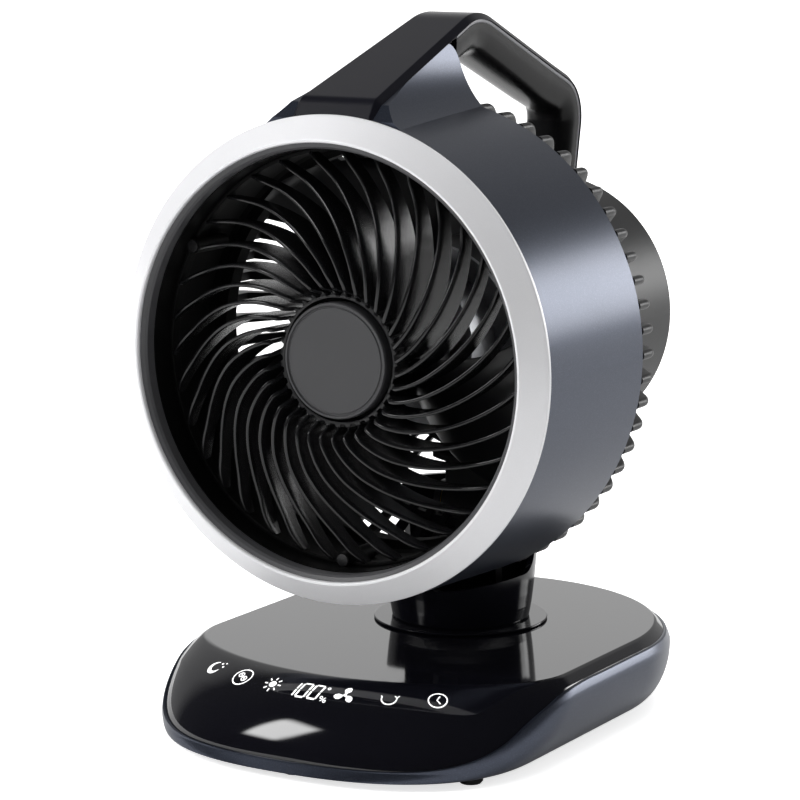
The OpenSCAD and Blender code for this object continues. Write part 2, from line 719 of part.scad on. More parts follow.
module handle_strip() {
    color("#1a1a1e") difference() {
        handle_band(0, strip_t, 0, bevel);
        head_ring(0, housing_r, -housing_back - 20, 0);
        head_turned([[0, drum_rear], [drum_rear_r, drum_rear], [bezel_r, drum_front],
                     [bezel_r, bezel_ahead + 20], [0, bezel_ahead + 20]]);
    }
}
module handle_trim() {
    color("#8b8c90") difference() {
        handle_band(strip_t, strip_t + trim_t, trim_flare, trim_flare);
        fin_space();
        head_ring(0, housing_r, -housing_back - 20, 0);
    }
}
grip_from = strip_t + trim_t;
grip_power = 2.9;
grip_sides = 16;
function grip_depth_at(height) = between([[crest_h - 60, leg_t], [crest_h - 25, grip_t]], height);
module handle_grip() {
    color("#121214") difference() {
        head_frame() skin([for (i = [0:len(handle_line) - 1])
            let (p = handle_line[i] + grip_from * inward_at(handle_line, i), n = inward_at(handle_line, i))
            let (w = handle_width_at(handle_line[i][0]) + trim_flare, t = grip_depth_at(handle_line[i][1]))
            [for (s = [0:grip_sides]) let (a = 180 * s / grip_sides)
                let (x = w * sign(cos(a)) * pow(abs(cos(a)), 2 / grip_power),
                     d = t * pow(sin(a), 2 / grip_power), q = p + d * n)
                [x, q[1], q[0]]]]);
        fin_space();
        head_ring(0, housing_r, -housing_back - 20, 0);
    }
}

// Fin that carries the handle's front: flared sides, cut off below the strip
flare_r = 43;
flare_top = axis_z + bezel_r + 29;
fin_front = bezel_ahead - strip_t - 0.4;
module fin_block() {
    inner = inner_line(strip_t);
    difference() {
        intersection() {
            translate([0, neck_y - fin_rear + 1, 0]) rotate([90, 0, 0]) linear_extrude(fin_front - fin_rear + 1)
                difference() {
                    translate([-30, axis_z + bezel_r - 15]) square([60, 60]);
                    for (side = [-1, 1]) translate([side * (fin_waist + flare_r), flare_top])
                        circle(r = flare_r, $fn = 128);
                }
            // everything below the strip's inner face, up to the rounded corner
            translate([-40, 0, 0]) rotate([90, 0, 90]) linear_extrude(80) polygon(
                [for (p = concat([for (q = inner) if (q[0] > fin_corner[0][0] + 0.5) q], fin_corner,
                                 [[fin_rear, 0], [bezel_ahead, 0]]))
                    [neck_y - p[0], axis_z + p[1]]]);
        }
        head_turned([[0, drum_rear - 5], [drum_rear_r - drum_wall + drum_flare * 5 / drum_len, drum_rear - 5],
                     [bezel_r - drum_wall, drum_front], [bezel_r - drum_wall, drum_front + 5], [0, drum_front + 5]]);
    }
}
drum_front = bezel_ahead - 2;
edge_w = 0.9;
module drum_shell() {
    color("#4a4e5c") {
        union() {
            head_turned([
                [bezel_r, drum_front], [drum_rear_r, drum_rear + edge_w], [drum_rear_r - edge_w, drum_rear],
                [drum_rear_r - drum_wall, drum_rear],
                [bezel_r - drum_wall, drum_front]]);
            fin_block();
        }
    }
}

module front_bezel() {
    color("#c9c9cc") head_turned([
        [bezel_r, drum_front], [bezel_r, bezel_ahead - 0.6], [bezel_r - 0.6, bezel_ahead],
        [lip_r + 1.2, lip_ahead], [lip_r + 0.4, lip_ahead - 0.2], [lip_r, lip_ahead - 0.9],
        [lip_r, lip_ahead - 6], [lip_r + 2, lip_ahead - 6], [lip_r + 2, lip_ahead - 3.6],
        [bezel_r - drum_wall - 2.2, bezel_ahead - 3], [bezel_r - drum_wall - 2.2, drum_front - 4],
        [bezel_r - drum_wall - 0.1, drum_front - 4], [bezel_r - drum_wall - 0.1, drum_front]]);
}
inner_ring_r = duct_r + 0.4;
module inner_ring() {
    color("#55565a") head_turned([
        [inner_ring_r, lip_ahead - 8], [lip_r, lip_ahead - 8], [lip_r, lip_ahead - 1.6],
        [inner_ring_r + 0.8, lip_ahead - 2.4], [inner_ring_r, lip_ahead - 3.4]]);
}

// ---- Front grille ------------------------------------------------------------------------

// Angle of a vane at a radius: it leaves the hub almost straight and sweeps on to the rim
vane_start = 5;
vane_root_r = hub_ring_r - 1;
vane_tip_r = duct_r;
function vane_angle(r) =
    let (root = hub_ring_r + 3.6, u = max(0, (r - root) / (duct_r - 5 - root)))
    vane_start + (vane_sweep - 6) * (0.86 * u + 0.14 * sin(90 * min(1, u)))
    - (r < root ? 0.25 * pow(root - r, 2) : 0);
vane_steps = 14;
module vane_plan() {
    side = function(r, s) let (a = vane_angle(r) + s * atan(vane_t / 2 / r * 1.25)) r * [cos(a), sin(a)];
    radii = [for (i = [0:vane_steps]) vane_root_r + (vane_tip_r + 0.6 - vane_root_r) * i / vane_steps];
    polygon(concat([for (r = radii) side(r, -1)], [for (i = [vane_steps:-1:0]) side(radii[i], 1)]));
}
crown_ahead = bezel_ahead + vane_crown;
// Front edge of the vanes: rises out of the hub ring, crowns, and falls back to the rim
function vane_r(share) = hub_ring_r + share * (duct_r - hub_ring_r);
vane_front = [[hub_ring_r - 2.4, crown_ahead - 8], [hub_ring_r + 0.6, crown_ahead - 7],
              [hub_ring_r + 2, crown_ahead - 2.4], [hub_ring_r + 5, crown_ahead - 0.4],
              [vane_r(0.21), crown_ahead], [vane_r(0.358), crown_ahead - 1.1],
              [vane_r(0.48), crown_ahead - 3.6], [vane_r(0.63), crown_ahead - 7.2],
              [vane_r(0.785), crown_ahead - 10.3], [vane_r(0.91), crown_ahead - 11],
              [vane_r(0.965), crown_ahead - 12.6], [duct_r + 2, crown_ahead - 17]];
hub_ring_ahead = bezel_ahead - 6.4;
grille_rim_ahead = bezel_ahead - 8;
ear_r = 3;
ear_at = duct_r - 2.6;
ear_head_r = 2.4;
module at_ears() {
    head_frame() for (a = [30, 150, 270]) rotate([0, 0, a]) translate([ear_at, 0, 0]) children();
}
module front_grille() {
    color("#0e0e10") difference() {
        union() {
            intersection() {
                head_frame() translate([0, 0, grille_back])
                    linear_extrude(30) for (k = [0:vane_count - 1]) rotate([0, 0, 360 * k / vane_count]) vane_plan();
                head_turned(concat([[hub_ring_r - 2.4, grille_back]], vane_front, [[duct_r + 2, grille_back]]));
                head_ring(hub_ring_r - 2, duct_r, grille_back, lip_ahead);
            }
            // hub ring with a serrated edge
            head_frame() translate([0, 0, grille_back]) linear_extrude(hub_ring_ahead - grille_back) difference() {
                union() {
                    circle(r = hub_ring_r - 0.7);
                    for (k = [0:vane_count - 1]) rotate([0, 0, 360 * k / vane_count + 2])
                        translate([hub_ring_r - 1.4, 0]) square([2.8, 2.9], center = true);
                }
                circle(r = medallion_r + 1.4);
            }
            // back plate of the hub
            head_ring(0, hub_ring_r - 1, grille_back, grille_back + 2.4);
            // outer ring on the duct wall
            head_ring(duct_r - 1.6, duct_r, grille_back, grille_back + 5);
            intersection() {
                at_ears() translate([0, 0, grille_back]) cylinder(r = ear_r, h = grille_rim_ahead - grille_back);
                head_ring(0, duct_r, grille_back - 1, lip_ahead);
            }
        }
        at_ears() translate([0, 0, grille_back - 1]) cylinder(r = 1.6, h = 40);
        at_ears() translate([0, 0, grille_rim_ahead - 3]) cylinder(r = ear_head_r + 0.15, h = 10);
    }
}
medallion_ahead = hub_ring_ahead + 2.6;
module medallion() {
    color("#4e4e52") head_turned([
        [0, grille_back + 2.4], [medallion_r - 4, grille_back + 2.4], [medallion_r - 4, hub_ring_ahead - 4],
        [medallion_r, hub_ring_ahead - 4], [medallion_r, medallion_ahead - 1],
        [medallion_r - 1, medallion_ahead - 0.2], [medallion_r - 4, medallion_ahead], [0, medallion_ahead]]);
}
module grille_screws() {
    color("#6f7277") at_ears() {
        translate([0, 0, grille_rim_ahead - 3]) cylinder(r = ear_head_r, h = 1.8);
        translate([0, 0, grille_back - 8]) cylinder(r = 1.5, h = grille_rim_ahead - 3 - grille_back + 8 + eps);
    }
}

// ---- Duct --------------------------------------------------------------------------------

module air_duct() {
    color("#101012") difference() {
        union() {
            head_turned([
                [duct_r, lip_ahead - 8], [duct_r, throat_front + 7], [duct_r - 0.9, throat_front + 3.4],
                [throat_r + 1, throat_front + 0.8], [throat_r, throat_front - 0.6], [throat_r, duct_rear],
                [duct_seat_r, duct_rear], [duct_seat_r, duct_rear + 2], [duct_r + duct_wall, duct_rear + 2],
                [duct_r + duct_wall, bezel_ahead - 8], [duct_flange_r, bezel_ahead - 7],
                [duct_flange_r, bezel_ahead - 5], [duct_r + duct_wall, bezel_ahead - 5],
                [duct_r + duct_wall, lip_ahead - 8]]);
            at_ears() translate([0, 0, grille_back - 14]) cylinder(r = ear_r, h = 14);
        }
        at_ears() translate([0, 0, grille_back - 15]) cylinder(r = 1.5, h = 20);
    }
}

// ---- Rear grille and housing ---------------------------------------------------------------

plug_r = drum_rear_r - drum_wall - 0.2;
// Outline that all the rear ribs share: from the ring inside the drum, round the corner and down
// the slope to the housing
function rib_profile() = concat(
    [[housing_r - 2, cage_seat - 1], [housing_r - 2, cage_seat - 3], [housing_r + 0.4, cage_seat - 3],
     [housing_r + 0.4, cage_ahead(housing_r + 0.4)]],
    [for (a = [90 - cage_angle:-15:0.1]) [rib_r - rib_corner + rib_corner * cos(a),
                                        drum_rear - rib_straight - rib_corner * sin(a)]],
    [[rib_r, drum_rear - rib_straight], [rib_r, drum_rear], [plug_r, drum_rear], [plug_r, drum_rear + 4],
     [plug_r - 4.6, drum_rear + 4], [plug_r - 4.6, cage_ahead(plug_r - 4.6) + 6.5],
     [housing_r + 0.4, cage_ahead(housing_r + 0.4) + 3.4]]);
// The ribs over the tilt joint end at a crossbar, and leave a window for the knuckle
window_half = 22;
bar_r = housing_r + 22.6;
bar_w = 3.4;
function from_bottom(k) = 360 * k / rib_count - 270;
bar_left = min([for (k = [0:rib_count - 1]) if (-from_bottom(k) >= window_half) -from_bottom(k)]);
bar_right = min([for (k = [0:rib_count]) if (from_bottom(k) >= window_half) from_bottom(k)]);
module rib_plan() {
    slope = (rib_t - rib_root_t) / 2 / (rib_r - housing_r);
    for (k = [0:rib_count - 1]) let (inner = abs(from_bottom(k)) < window_half ? bar_r + 1 : housing_r - 3)
        rotate([0, 0, 360 * k / rib_count]) let (half = rib_root_t / 2 + (inner - housing_r) * slope)
            polygon([[inner, -half], [rib_r + 2, -rib_t / 2 - 2 * slope], [rib_r + 2, rib_t / 2 + 2 * slope], [inner, half]]);
}
module rear_grille() {
    cup_r = case_r + 8;
    cup_in_r = case_r + 4;
    color("#111113") difference() {
        union() {
            intersection() {
                head_frame() translate([0, 0, cage_rear - 1]) linear_extrude(drum_rear + 6 - cage_rear) rib_plan();
                head_turned(rib_profile());
            }
            // crossbar over the window
            intersection() {
                head_turned([[bar_r, cage_ahead(bar_r) + 0.3], [bar_r + bar_w, cage_ahead(bar_r + bar_w) + 0.3],
                             [bar_r + bar_w, cage_ahead(bar_r + bar_w) + 4.6], [bar_r, cage_ahead(bar_r) + 4.6]]);
                head_frame() translate([0, 0, cage_rear]) linear_extrude(60) polygon(concat([[0, 0]],
                    [for (i = [0:4]) let (a = 270 - bar_left + (bar_left + bar_right) * i / 4) 120 * [cos(a), sin(a)]]));
            }
            head_ring(plug_r - 4, plug_r, drum_rear, drum_rear + 4);
            // plate against the housing, with the cup that carries the motor
            head_turned([
                [case_r - 1, plate_front - 4], [cup_in_r, plate_front - 4], [cup_in_r, cage_rear], [housing_r, cage_rear],
                [housing_r, cage_seat], [cup_r, cage_seat], [cup_r, plate_front], [case_r - 1, plate_front]]);
            // duct for the wires from the tilt joint to the cup
            intersection() {
                translate([-7, neck_y + tilt_back - web_half, axis_z - housing_r - 2])
                    cube([14, 2 * web_half, housing_r - cup_r + 4]);
                head_ring(0, housing_r, -100, 100);
            }
        }
        head_ring(0, case_r + run_gap, -100, 100);
        at_motor_screws() translate([0, 0, plate_front - 10]) cylinder(r = 1.5, h = 20);
        at_housing_screws() translate([0, 0, cage_seat - 10]) cylinder(r = 1.6, h = 20);
        translate([-wire_w / 2, neck_y + tilt_back - 3, axis_z - housing_r - 2])
            cube([wire_w, 6, housing_r - cup_in_r + 4]);
    }
}
module at_motor_screws() {
    head_frame() for (a = [45:90:315]) rotate([0, 0, a]) translate([case_r + 4.4, 0, 0]) children();
}
module at_housing_screws() {
    head_frame() for (a = [45:90:315]) rotate([0, 0, a]) translate([housing_r - 6, 0, 0]) children();
}
vent_rings = [20, 29, 38, 47];
module motor_housing() {
    rear = -housing_back;
    front = cage_rear;
    color("#1b1b1d") difference() {
        union() {
            head_turned([
                [0, rear], [housing_r - 1.2, rear], [housing_r, rear + 1.2], [housing_r, front],
                [housing_r - housing_wall, front], [housing_r - housing_wall, rear + housing_wall],
                [0, rear + housing_wall]]);
            at_housing_screws() translate([0, 0, front - 20]) cylinder(r = 4.2, h = 20);
        }
        // cooling slots in the rear face, in four quarters
        head_frame() translate([0, 0, rear - 1]) linear_extrude(housing_wall + 2) difference() {
            for (r = vent_rings) difference() {
                circle(r = r + 1.6);
                circle(r = r - 1.6);
            }
            for (a = [0:60:120]) rotate([0, 0, a]) square([2 * housing_r, 7], center = true);
        }
        at_housing_screws() translate([0, 0, front - 19]) cylinder(r = 1.5, h = 30);
        head_ring(0, housing_r - 12, front - 0.5, front + 10);
    }
}
module housing_screws() {
    color("#8a8d92") at_housing_screws() {
        translate([0, 0, cage_seat]) cylinder(r = 2.8, h = 1.8);
        translate([0, 0, cage_seat - 15]) cylinder(r = 1.5 - run_gap, h = 15 + eps);
    }
}

// ---- Motor and impeller --------------------------------------------------------------------

case_r = 30;
case_len = 34;
case_front = blade_rear - 6;
flange_r = case_r + 8;
flange_t = 2.4;
bearing_r = 11;
bearing_t = 7;
module motor_case() {
    color("#9b9ea3") difference() {
        union() {
            head_turned([
                [bearing_r, case_front], [case_r - 1.5, case_front], [case_r, case_front - 1.5],
                [case_r, case_front - case_len], [bearing_r, case_front - case_len],
                [bearing_r, case_front - case_len + bearing_t], [case_r - 2.4, case_front - case_len + bearing_t],
                [case_r - 2.4, case_front - bearing_t], [bearing_r, case_front - bearing_t]]);
            head_ring(case_r - 1, flange_r, plate_front, plate_front + flange_t);
            // posts of the motor's board
            head_frame() for (a = [0:120:240]) rotate([0, 0, a + 60])
                translate([case_r - 5, 0, case_front - case_len - board_gap])
                    cylinder(r = 2.4, h = board_gap + 1);
        }
        at_motor_screws() translate([0, 0, plate_front - 1]) cylinder(r = 1.5, h = 10);
    }
}
module motor_screws() {
    color("#6f7277") at_motor_screws() {
        translate([0, 0, plate_front + flange_t]) cylinder(r = 2.8, h = 1.8);
        translate([0, 0, plate_front - 4]) cylinder(r = 1.5 - run_gap, h = 4 + flange_t + eps);
    }
}
stator_r_in = 15;
module motor_stator() {
    from = case_front - case_len + bearing_t + 2;
    to = case_front - bearing_t - 2;
    color("#a5673a") head_frame() translate([0, 0, from]) linear_extrude(to - from) difference() {
        circle(r = case_r - 2.4 - run_gap);
        circle(r = stator_r_in);
        for (k = [0:8]) rotate([0, 0, 40 * k]) {
            translate([stator_r_in + 6.5, 0]) circle(r = 3.2, $fn = 32);
            translate([stator_r_in - 1, -0.8]) square([6, 1.6]);
        }
    }
}
module motor_bearings() {
    color("#c4c6ca") {
        head_ring(shaft_d / 2 + run_gap, bearing_r, case_front - bearing_t, case_front);
        head_ring(shaft_d / 2 + run_gap, bearing_r, case_front - case_len, case_front - case_len + bearing_t);
    }
}
module motor_board() {
    at = case_front - case_len - board_gap;
    color("#1f5138") head_ring(0, case_r + 2, at - board_t, at);
    color("#333333") head_frame() for (a = [0:120:240]) rotate([0, 0, a])
        translate([case_r - 10, 0, at - board_t - 6]) cylinder(r = 4, h = 6 + eps);
}
module motor_shaft() {
    color("#c9cbd0") head_ring(0, shaft_d / 2, case_front - case_len - 2, hub_nose - 1);
}
rotor_r = stator_r_in - 1;
module motor_rotor() {
    color("#4c4f55") head_ring(shaft_d / 2, rotor_r, case_front - case_len + bearing_t + 2, case_front - bearing_t - 2);
}

blade_span = 62;
blade_t = 2.4;
blade_rings = 7;
blade_chord = 10;
// Point of a blade: s runs along the chord from the leading edge, v along the radius
function blade_point(r, s, side) =
    let (v = (r - impeller_hub_r) / (blade_tip_r - impeller_hub_r))
    let (angle = -blade_span * (1 - 0.12 * v) * (s - 0.5) + 14 * v * v)
    let (rise = (blade_front - blade_rear - blade_t - 2) * (0.92 - 0.22 * v))
    let (middle = (blade_front + blade_rear) / 2 + rise * (0.5 - s) + 4 * sin(180 * s) * (1 - 0.4 * v))
    [r * cos(angle), r * sin(angle), middle + side * blade_t / 2 * max(0.25, sin(180 * s))];

// Closed sheet between two grids of points: rows run outwards, each row clockwise
module sheet(upper, lower) {
    n = len(upper);
    m = len(upper[0]);
    k = n * m;
    top = [for (i = [0:n - 2], j = [0:m - 2]) let (a = i * m + j) each
        [[a, a + 1, a + m], [a + 1, a + m + 1, a + m]]];
    edge = concat([for (j = [0:m - 1]) j], [for (i = [1:n - 1]) i * m + m - 1],
                  [for (j = [m - 2:-1:0]) (n - 1) * m + j], [for (i = [n - 2:-1:1]) i * m]);
    e = len(edge);
    polyhedron(
        points = concat([for (row = upper) each row], [for (row = lower) each row]),
        faces = concat(
            [for (f = top) [f[2], f[1], f[0]]],
            [for (f = top) [f[0] + k, f[1] + k, f[2] + k]],
            [for (i = [0:e - 1]) let (a = edge[i], b = edge[(i + 1) % e]) each
                [[a, b, a + k], [b, b + k, a + k]]]));
}
module blade() {
    radii = [for (i = [0:blade_rings])
        impeller_hub_r - 1.2 + (blade_tip_r - impeller_hub_r + 1.2) * i / blade_rings];
    sheet([for (r = radii) [for (j = [0:blade_chord]) blade_point(r, j / blade_chord, 1)]],
          [for (r = radii) [for (j = [0:blade_chord]) blade_point(r, j / blade_chord, -1)]]);
}
module impeller() {
    color("#1a1a1d") difference() {
        union() {
            head_turned([
                [shaft_d / 2, hub_nose - 6], [impeller_hub_r - 5, hub_nose - 6], [impeller_hub_r - 1, hub_nose - 8],
                [impeller_hub_r, hub_nose - 11], [impeller_hub_r, blade_rear - 2], [impeller_hub_r - 2.4, blade_rear - 2],
                [impeller_hub_r - 2.4, hub_nose - 13], [8, hub_nose - 13], [8, blade_rear], [shaft_d / 2, blade_rear]]);
            head_frame() for (k = [0:blade_count - 1]) rotate([0, 0, 90 + 360 * k / blade_count]) blade();
        }
        head_ring(0, shaft_d / 2, -100, 200);
        head_ring(8, impeller_hub_r - 2.4, -100, hub_nose - 13);
    }
}
module impeller_nut() {
    color("#26262a") difference() {
        head_frame() translate([0, 0, hub_nose - 6]) linear_extrude(4.6) circle(r = 8, $fn = 6);
        head_ring(0, shaft_d / 2, -100, 200);
    }
}

// ---- Assembly ------------------------------------------------------------------------------

base_shell();
base_cover();
rubber_feet();
base_screws();
battery_cells();
battery_cradle();
control_board();
touch_board();
display_block();
charge_port();
pan_motor();
pan_bush();
pan_pinion();
turntable();
pan_gear();
pan_gear_screws();
neck_shell();
tilt_fork();
tilt_pin();
tilt_washers();
tilt_knuckle();
drum_shell();
front_bezel();
inner_ring();
front_grille();
medallion();
grille_screws();
air_duct();
rear_grille();
motor_housing();
handle_grip();
handle_trim();
handle_strip();
motor_case();
motor_screws();
motor_stator();
motor_bearings();
motor_board();
housing_screws();
impeller();
motor_shaft();
motor_rotor();
impeller_nut();
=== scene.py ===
"""Portable camping fan: spiral front grille, drum head with a carrying handle, swivelling neck and
a wedge-shaped charging base with a touch panel. Lengths inside the functions are millimetres."""

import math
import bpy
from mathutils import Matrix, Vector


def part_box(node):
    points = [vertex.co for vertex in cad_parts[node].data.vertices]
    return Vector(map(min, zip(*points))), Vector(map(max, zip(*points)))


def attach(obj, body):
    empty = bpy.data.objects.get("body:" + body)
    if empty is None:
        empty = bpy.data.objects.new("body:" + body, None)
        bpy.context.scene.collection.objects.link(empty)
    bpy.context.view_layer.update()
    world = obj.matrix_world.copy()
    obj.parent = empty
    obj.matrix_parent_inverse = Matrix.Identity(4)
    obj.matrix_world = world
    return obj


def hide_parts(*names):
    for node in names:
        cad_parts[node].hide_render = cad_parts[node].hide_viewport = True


bl_info = {
    "name": "Camping Fan",
    "version": (1, 0, 0),
    "blender": (4, 5, 0),
    "location": "3D View > Sidebar > Camping Fan",
    "description": "Dresses the solid model of a portable camping fan piece by piece",
    "category": "Add Mesh",
}

import bpy
import numpy as np
from mathutils import Matrix, Vector

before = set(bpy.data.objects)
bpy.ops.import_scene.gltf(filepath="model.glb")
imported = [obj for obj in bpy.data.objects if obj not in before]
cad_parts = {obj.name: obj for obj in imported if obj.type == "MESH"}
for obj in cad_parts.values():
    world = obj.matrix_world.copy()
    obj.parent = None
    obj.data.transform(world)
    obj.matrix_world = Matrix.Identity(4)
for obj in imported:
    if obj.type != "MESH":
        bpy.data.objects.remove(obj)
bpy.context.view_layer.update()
MM = 0.001


def low(node, axis):
    """Lowest coordinate of a solid along an axis, in metres."""
    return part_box(node)[0][axis]


def high(node, axis):
    """Highest coordinate of a solid along an axis, in metres."""
    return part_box(node)[1][axis]


# Places that the solids give, in millimetres
NECK_Y = 500 * (low("turntable", 1) + high("turntable", 1))
AXIS_Z = 500 * (low("front_bezel", 2) + high("front_bezel", 2))
FOOT_H = 1000 * low("base_shell", 2)
DECK_Z = 1000 * high("base_cover", 2)


def rear_of(node):
    """Distance of a solid's rear ahead of the neck's axis, in millimetres."""
    return 1000 * (NECK_Y * MM - high(node, 1))


def front_of(node):
    """Distance of a solid's front ahead of the neck's axis, in millimetres."""
    return 1000 * (NECK_Y * MM - low(node, 1))


# ---- Sizes and colours a user may change ----


def length(label, note, default):
    """A size in metres."""
    return bpy.props.FloatProperty(
        name=label, description=note, default=default, unit="LENGTH", min=0.0
    )


def colour(label, note, default):
    """A linear colour."""
    return bpy.props.FloatVectorProperty(
        name=label, description=note, default=default, subtype="COLOR", size=3, min=0.0, max=1.0
    )


class FanSizes(bpy.types.PropertyGroup):
    """Sizes of the fan's visible surfaces"""

    base_half_w: length("Base half width", "Half of the base's width at its belly",
                        high("base_shell", 0))
    base_foot_half_w: length("Foot half width", "Half of the base's width at its underside",
                             0.0755)
    base_reach: length("Base reach", "Front lip ahead of the neck's axis",
                       NECK_Y * MM - low("base_shell", 1))
    deck_reach: length("Deck reach", "Front edge of the flat deck ahead of the neck's axis", 0.112)
    lip_h: length("Lip height", "Height of the shell at the front lip", 0.004)
    rim_w: length("Rim width", "Edge of the shell that shows round the cover", 0.0012)
    base_wall: length("Base wall", "Wall of the shell and of the cover", 0.0024)
    deck_edge: length("Deck edge", "Radius of the cover's upper edge", 0.0008)
    disc_r: length("Disc radius", "Radius of the turntable's disc", high("turntable", 0))
    bezel_r: length("Bezel radius", "Outer radius of the bezel", high("front_bezel", 0))
    bezel_w: length("Bezel width", "Width of the bezel's face across", 0.0102)
    bezel_edge: length("Bezel edge", "Radius of the bezel's outer edge", 0.0011)
    lip_rise: length("Lip rise", "Bezel's lip ahead of its outer edge", 0.0065)
    lip_ahead: length("Lip ahead", "Bezel's lip ahead of the neck's axis",
                      NECK_Y * MM - low("front_bezel", 1))
    ring_w: length("Ring width", "Dark ring between the lip and the duct", 0.0028)
    hub_ring_r: length("Hub ring radius", "Outer radius of the grille's hub ring", 0.0264)
    vane_t: length("Vane thickness", "Thickness of a vane", 0.0015)
    vane_sweep: bpy.props.FloatProperty(
        name="Vane sweep", description="Angle a vane sweeps from the hub to the rim",
        default=math.radians(48), subtype="ANGLE", unit="ROTATION")
    vane_count: bpy.props.IntProperty(
        name="Vanes", description="Number of spiral vanes", default=35, min=3)
    medallion_r: length("Medallion radius", "Radius of the medallion", high("medallion", 0))
    blade_count: bpy.props.IntProperty(
        name="Blades", description="Number of blades", default=3, min=2)
    strip_t: length("Strip thickness", "Thickness of the handle's top strip", 0.0024)
    trim_t: length("Trim thickness", "Thickness of the trim below the strip", 0.0028)
    handle_half_w: length("Handle half width", "Half of the strip's flat top at the front", 0.0167)
    leg_half_w: length("Leg half width", "Half of the strip's flat top at the rear leg", 0.0095)


class FanColours(bpy.types.PropertyGroup):
    """Colours of the fan's finishes"""

    gunmetal: colour("Gunmetal", "Paint of the drum and the base's shell", (0.061, 0.070, 0.097))
    piano: colour("Piano black", "Gloss of the cover and the neck", (0.0045, 0.0045, 0.007))
    satin_black: colour("Satin black", "Grille, duct and grip", (0.010, 0.010, 0.011))
    silver: colour("Satin silver", "Bezel", (0.82, 0.82, 0.84))
    trim: colour("Trim grey", "Ring, medallion and handle's trim", (0.075, 0.075, 0.080))
    legend: colour("Legend", "Lit signs of the touch panel", (1.0, 1.0, 1.0))
    floor: colour("Floor", "Floor under the fan", (0.86, 0.86, 0.86))


def mm(name):
    """A size of the fan in millimetres."""
    return getattr(bpy.context.scene.fan_sizes, name) * 1000


def tint(name, share=1.0):
    """A colour of the fan as four numbers, brightened by a share."""
    return tuple(min(1.0, c * share) for c in getattr(bpy.context.scene.fan_colours, name)) + (1.0,)


# ---- Meshes from grids of points ----


def loft_faces(rows, cols, torus):
    """Quads between neighbouring rows of a grid whose rows are closed loops. On a torus the last
    row joins the first."""
    i, j = np.meshgrid(np.arange(rows if torus else rows - 1), np.arange(cols), indexing="ij")
    k, n = (i + 1) % rows, (j + 1) % cols
    return np.stack([i * cols + j, i * cols + n, k * cols + n, k * cols + j], -1).reshape(-1, 4)


def signed_volume(points, quads, caps):
    """Volume inside closed faces: the sum over triangles of a . (b x c) / 6."""
    fans = [np.stack([np.full(len(c) - 2, c[0]), c[1:-1], c[2:]], -1) for c in caps]
    tri = np.concatenate([quads[:, [0, 1, 2]], quads[:, [0, 2, 3]]] + fans)
    a, b, c = (points[tri[:, k]] for k in range(3))
    return np.einsum("ij,ij->i", a, np.cross(b, c)).sum() / 6


class Lofts:
    """Closed surfaces gathered into one mesh. Each is a grid of rows of closed loops, or a stack of
    such grids, and is turned so that its faces point outwards."""

    def __init__(self):
        self.points, self.faces, self.count = [], [], 0

    def add(self, grid, torus=False):
        grid = np.asarray(grid, float)
        grid = grid.reshape((-1,) + grid.shape[-3:])
        copies, rows, cols = grid.shape[:3]
        quads = loft_faces(rows, cols, torus)
        caps = [] if torus else [np.arange(cols)[::-1], (rows - 1) * cols + np.arange(cols)]
        if signed_volume(grid[0].reshape(-1, 3), quads, caps) < 0:
            quads, caps = quads[:, ::-1], [c[::-1] for c in caps]
        starts = self.count + np.arange(copies) * rows * cols
        self.faces += (quads[None] + starts[:, None, None]).reshape(-1, 4).tolist()
        for cap in caps:
            self.faces += (cap[None] + starts[:, None]).tolist()
        self.points.append(grid.reshape(-1, 3))
        self.count += copies * rows * cols
        return self

    def finish(self, name, body, slot, material, replaces=(), sharp=35.0):
        """Makes the object, at the origin and untransformed, riding on its body."""
        mesh = bpy.data.meshes.new(name)
        mesh.from_pydata((np.concatenate(self.points) * MM).tolist(), [], self.faces)
        mesh.shade_smooth()
        mesh.set_sharp_from_angle(angle=math.radians(sharp))
        mesh.materials.append(material)
        mesh.validate()
        piece = bpy.data.objects.new(name, mesh)
        bpy.context.scene.collection.objects.link(piece)
        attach(piece, body)
        if replaces:
            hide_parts(*replaces)
        return piece


def rounded(points, radii, steps=6, closed=True):
    """An outline with rounded corners. Each corner becomes a circular arc, written as the rational
    quadratic curve ((1-t)^2 A + 2 w t (1-t) P + t^2 B) / ((1-t)^2 + 2 w t (1-t) + t^2) between its
    tangent points A and B, with w the sine of half the corner's angle, and a guard point on each
    side keeps the flats flat."""
    p = np.asarray(points, float)
    r = np.array(np.broadcast_to(radii, len(p)), float)
    if not closed:
        r[0] = r[-1] = 0
    u, v = np.roll(p, 1, 0) - p, np.roll(p, -1, 0) - p
    lu, lv = np.linalg.norm(u, axis=1), np.linalg.norm(v, axis=1)
    u, v = u / lu[:, None], v / lv[:, None]
    half = 0.5 * np.arccos(np.clip((u * v).sum(1), -1, 1))
    room = 0.48 * np.minimum(lu, lv)
    reach = np.minimum(r / np.tan(np.maximum(half, 1e-3)), room)
    guard = np.where(r > 0, np.minimum(0.3, room - reach), 0)
    t = np.linspace(0, 1, steps + 1)[None, :, None]
    w = np.sin(half)[:, None, None]
    a, b = (p + u * reach[:, None])[:, None], (p + v * reach[:, None])[:, None]
    arc = ((1 - t) ** 2 * a + 2 * w * t * (1 - t) * p[:, None] + t ** 2 * b) / (
        (1 - t) ** 2 + 2 * w * t * (1 - t) + t ** 2)
    before, after = a + (u * guard[:, None])[:, None], b + (v * guard[:, None])[:, None]
    line = np.concatenate([before, arc, after], 1).reshape(-1, 2)
    return line[np.linalg.norm(line - np.roll(line, 1, 0), axis=1) > 1e-5]


def on_fan(x, up, ahead):
    """Points of the head from their offset to the side, their height above the fan's axis and
    their distance ahead of the neck's axis."""
    x, up, ahead = np.broadcast_arrays(x, up, ahead)
    return np.stack([x, NECK_Y - ahead, AXIS_Z + up], -1)


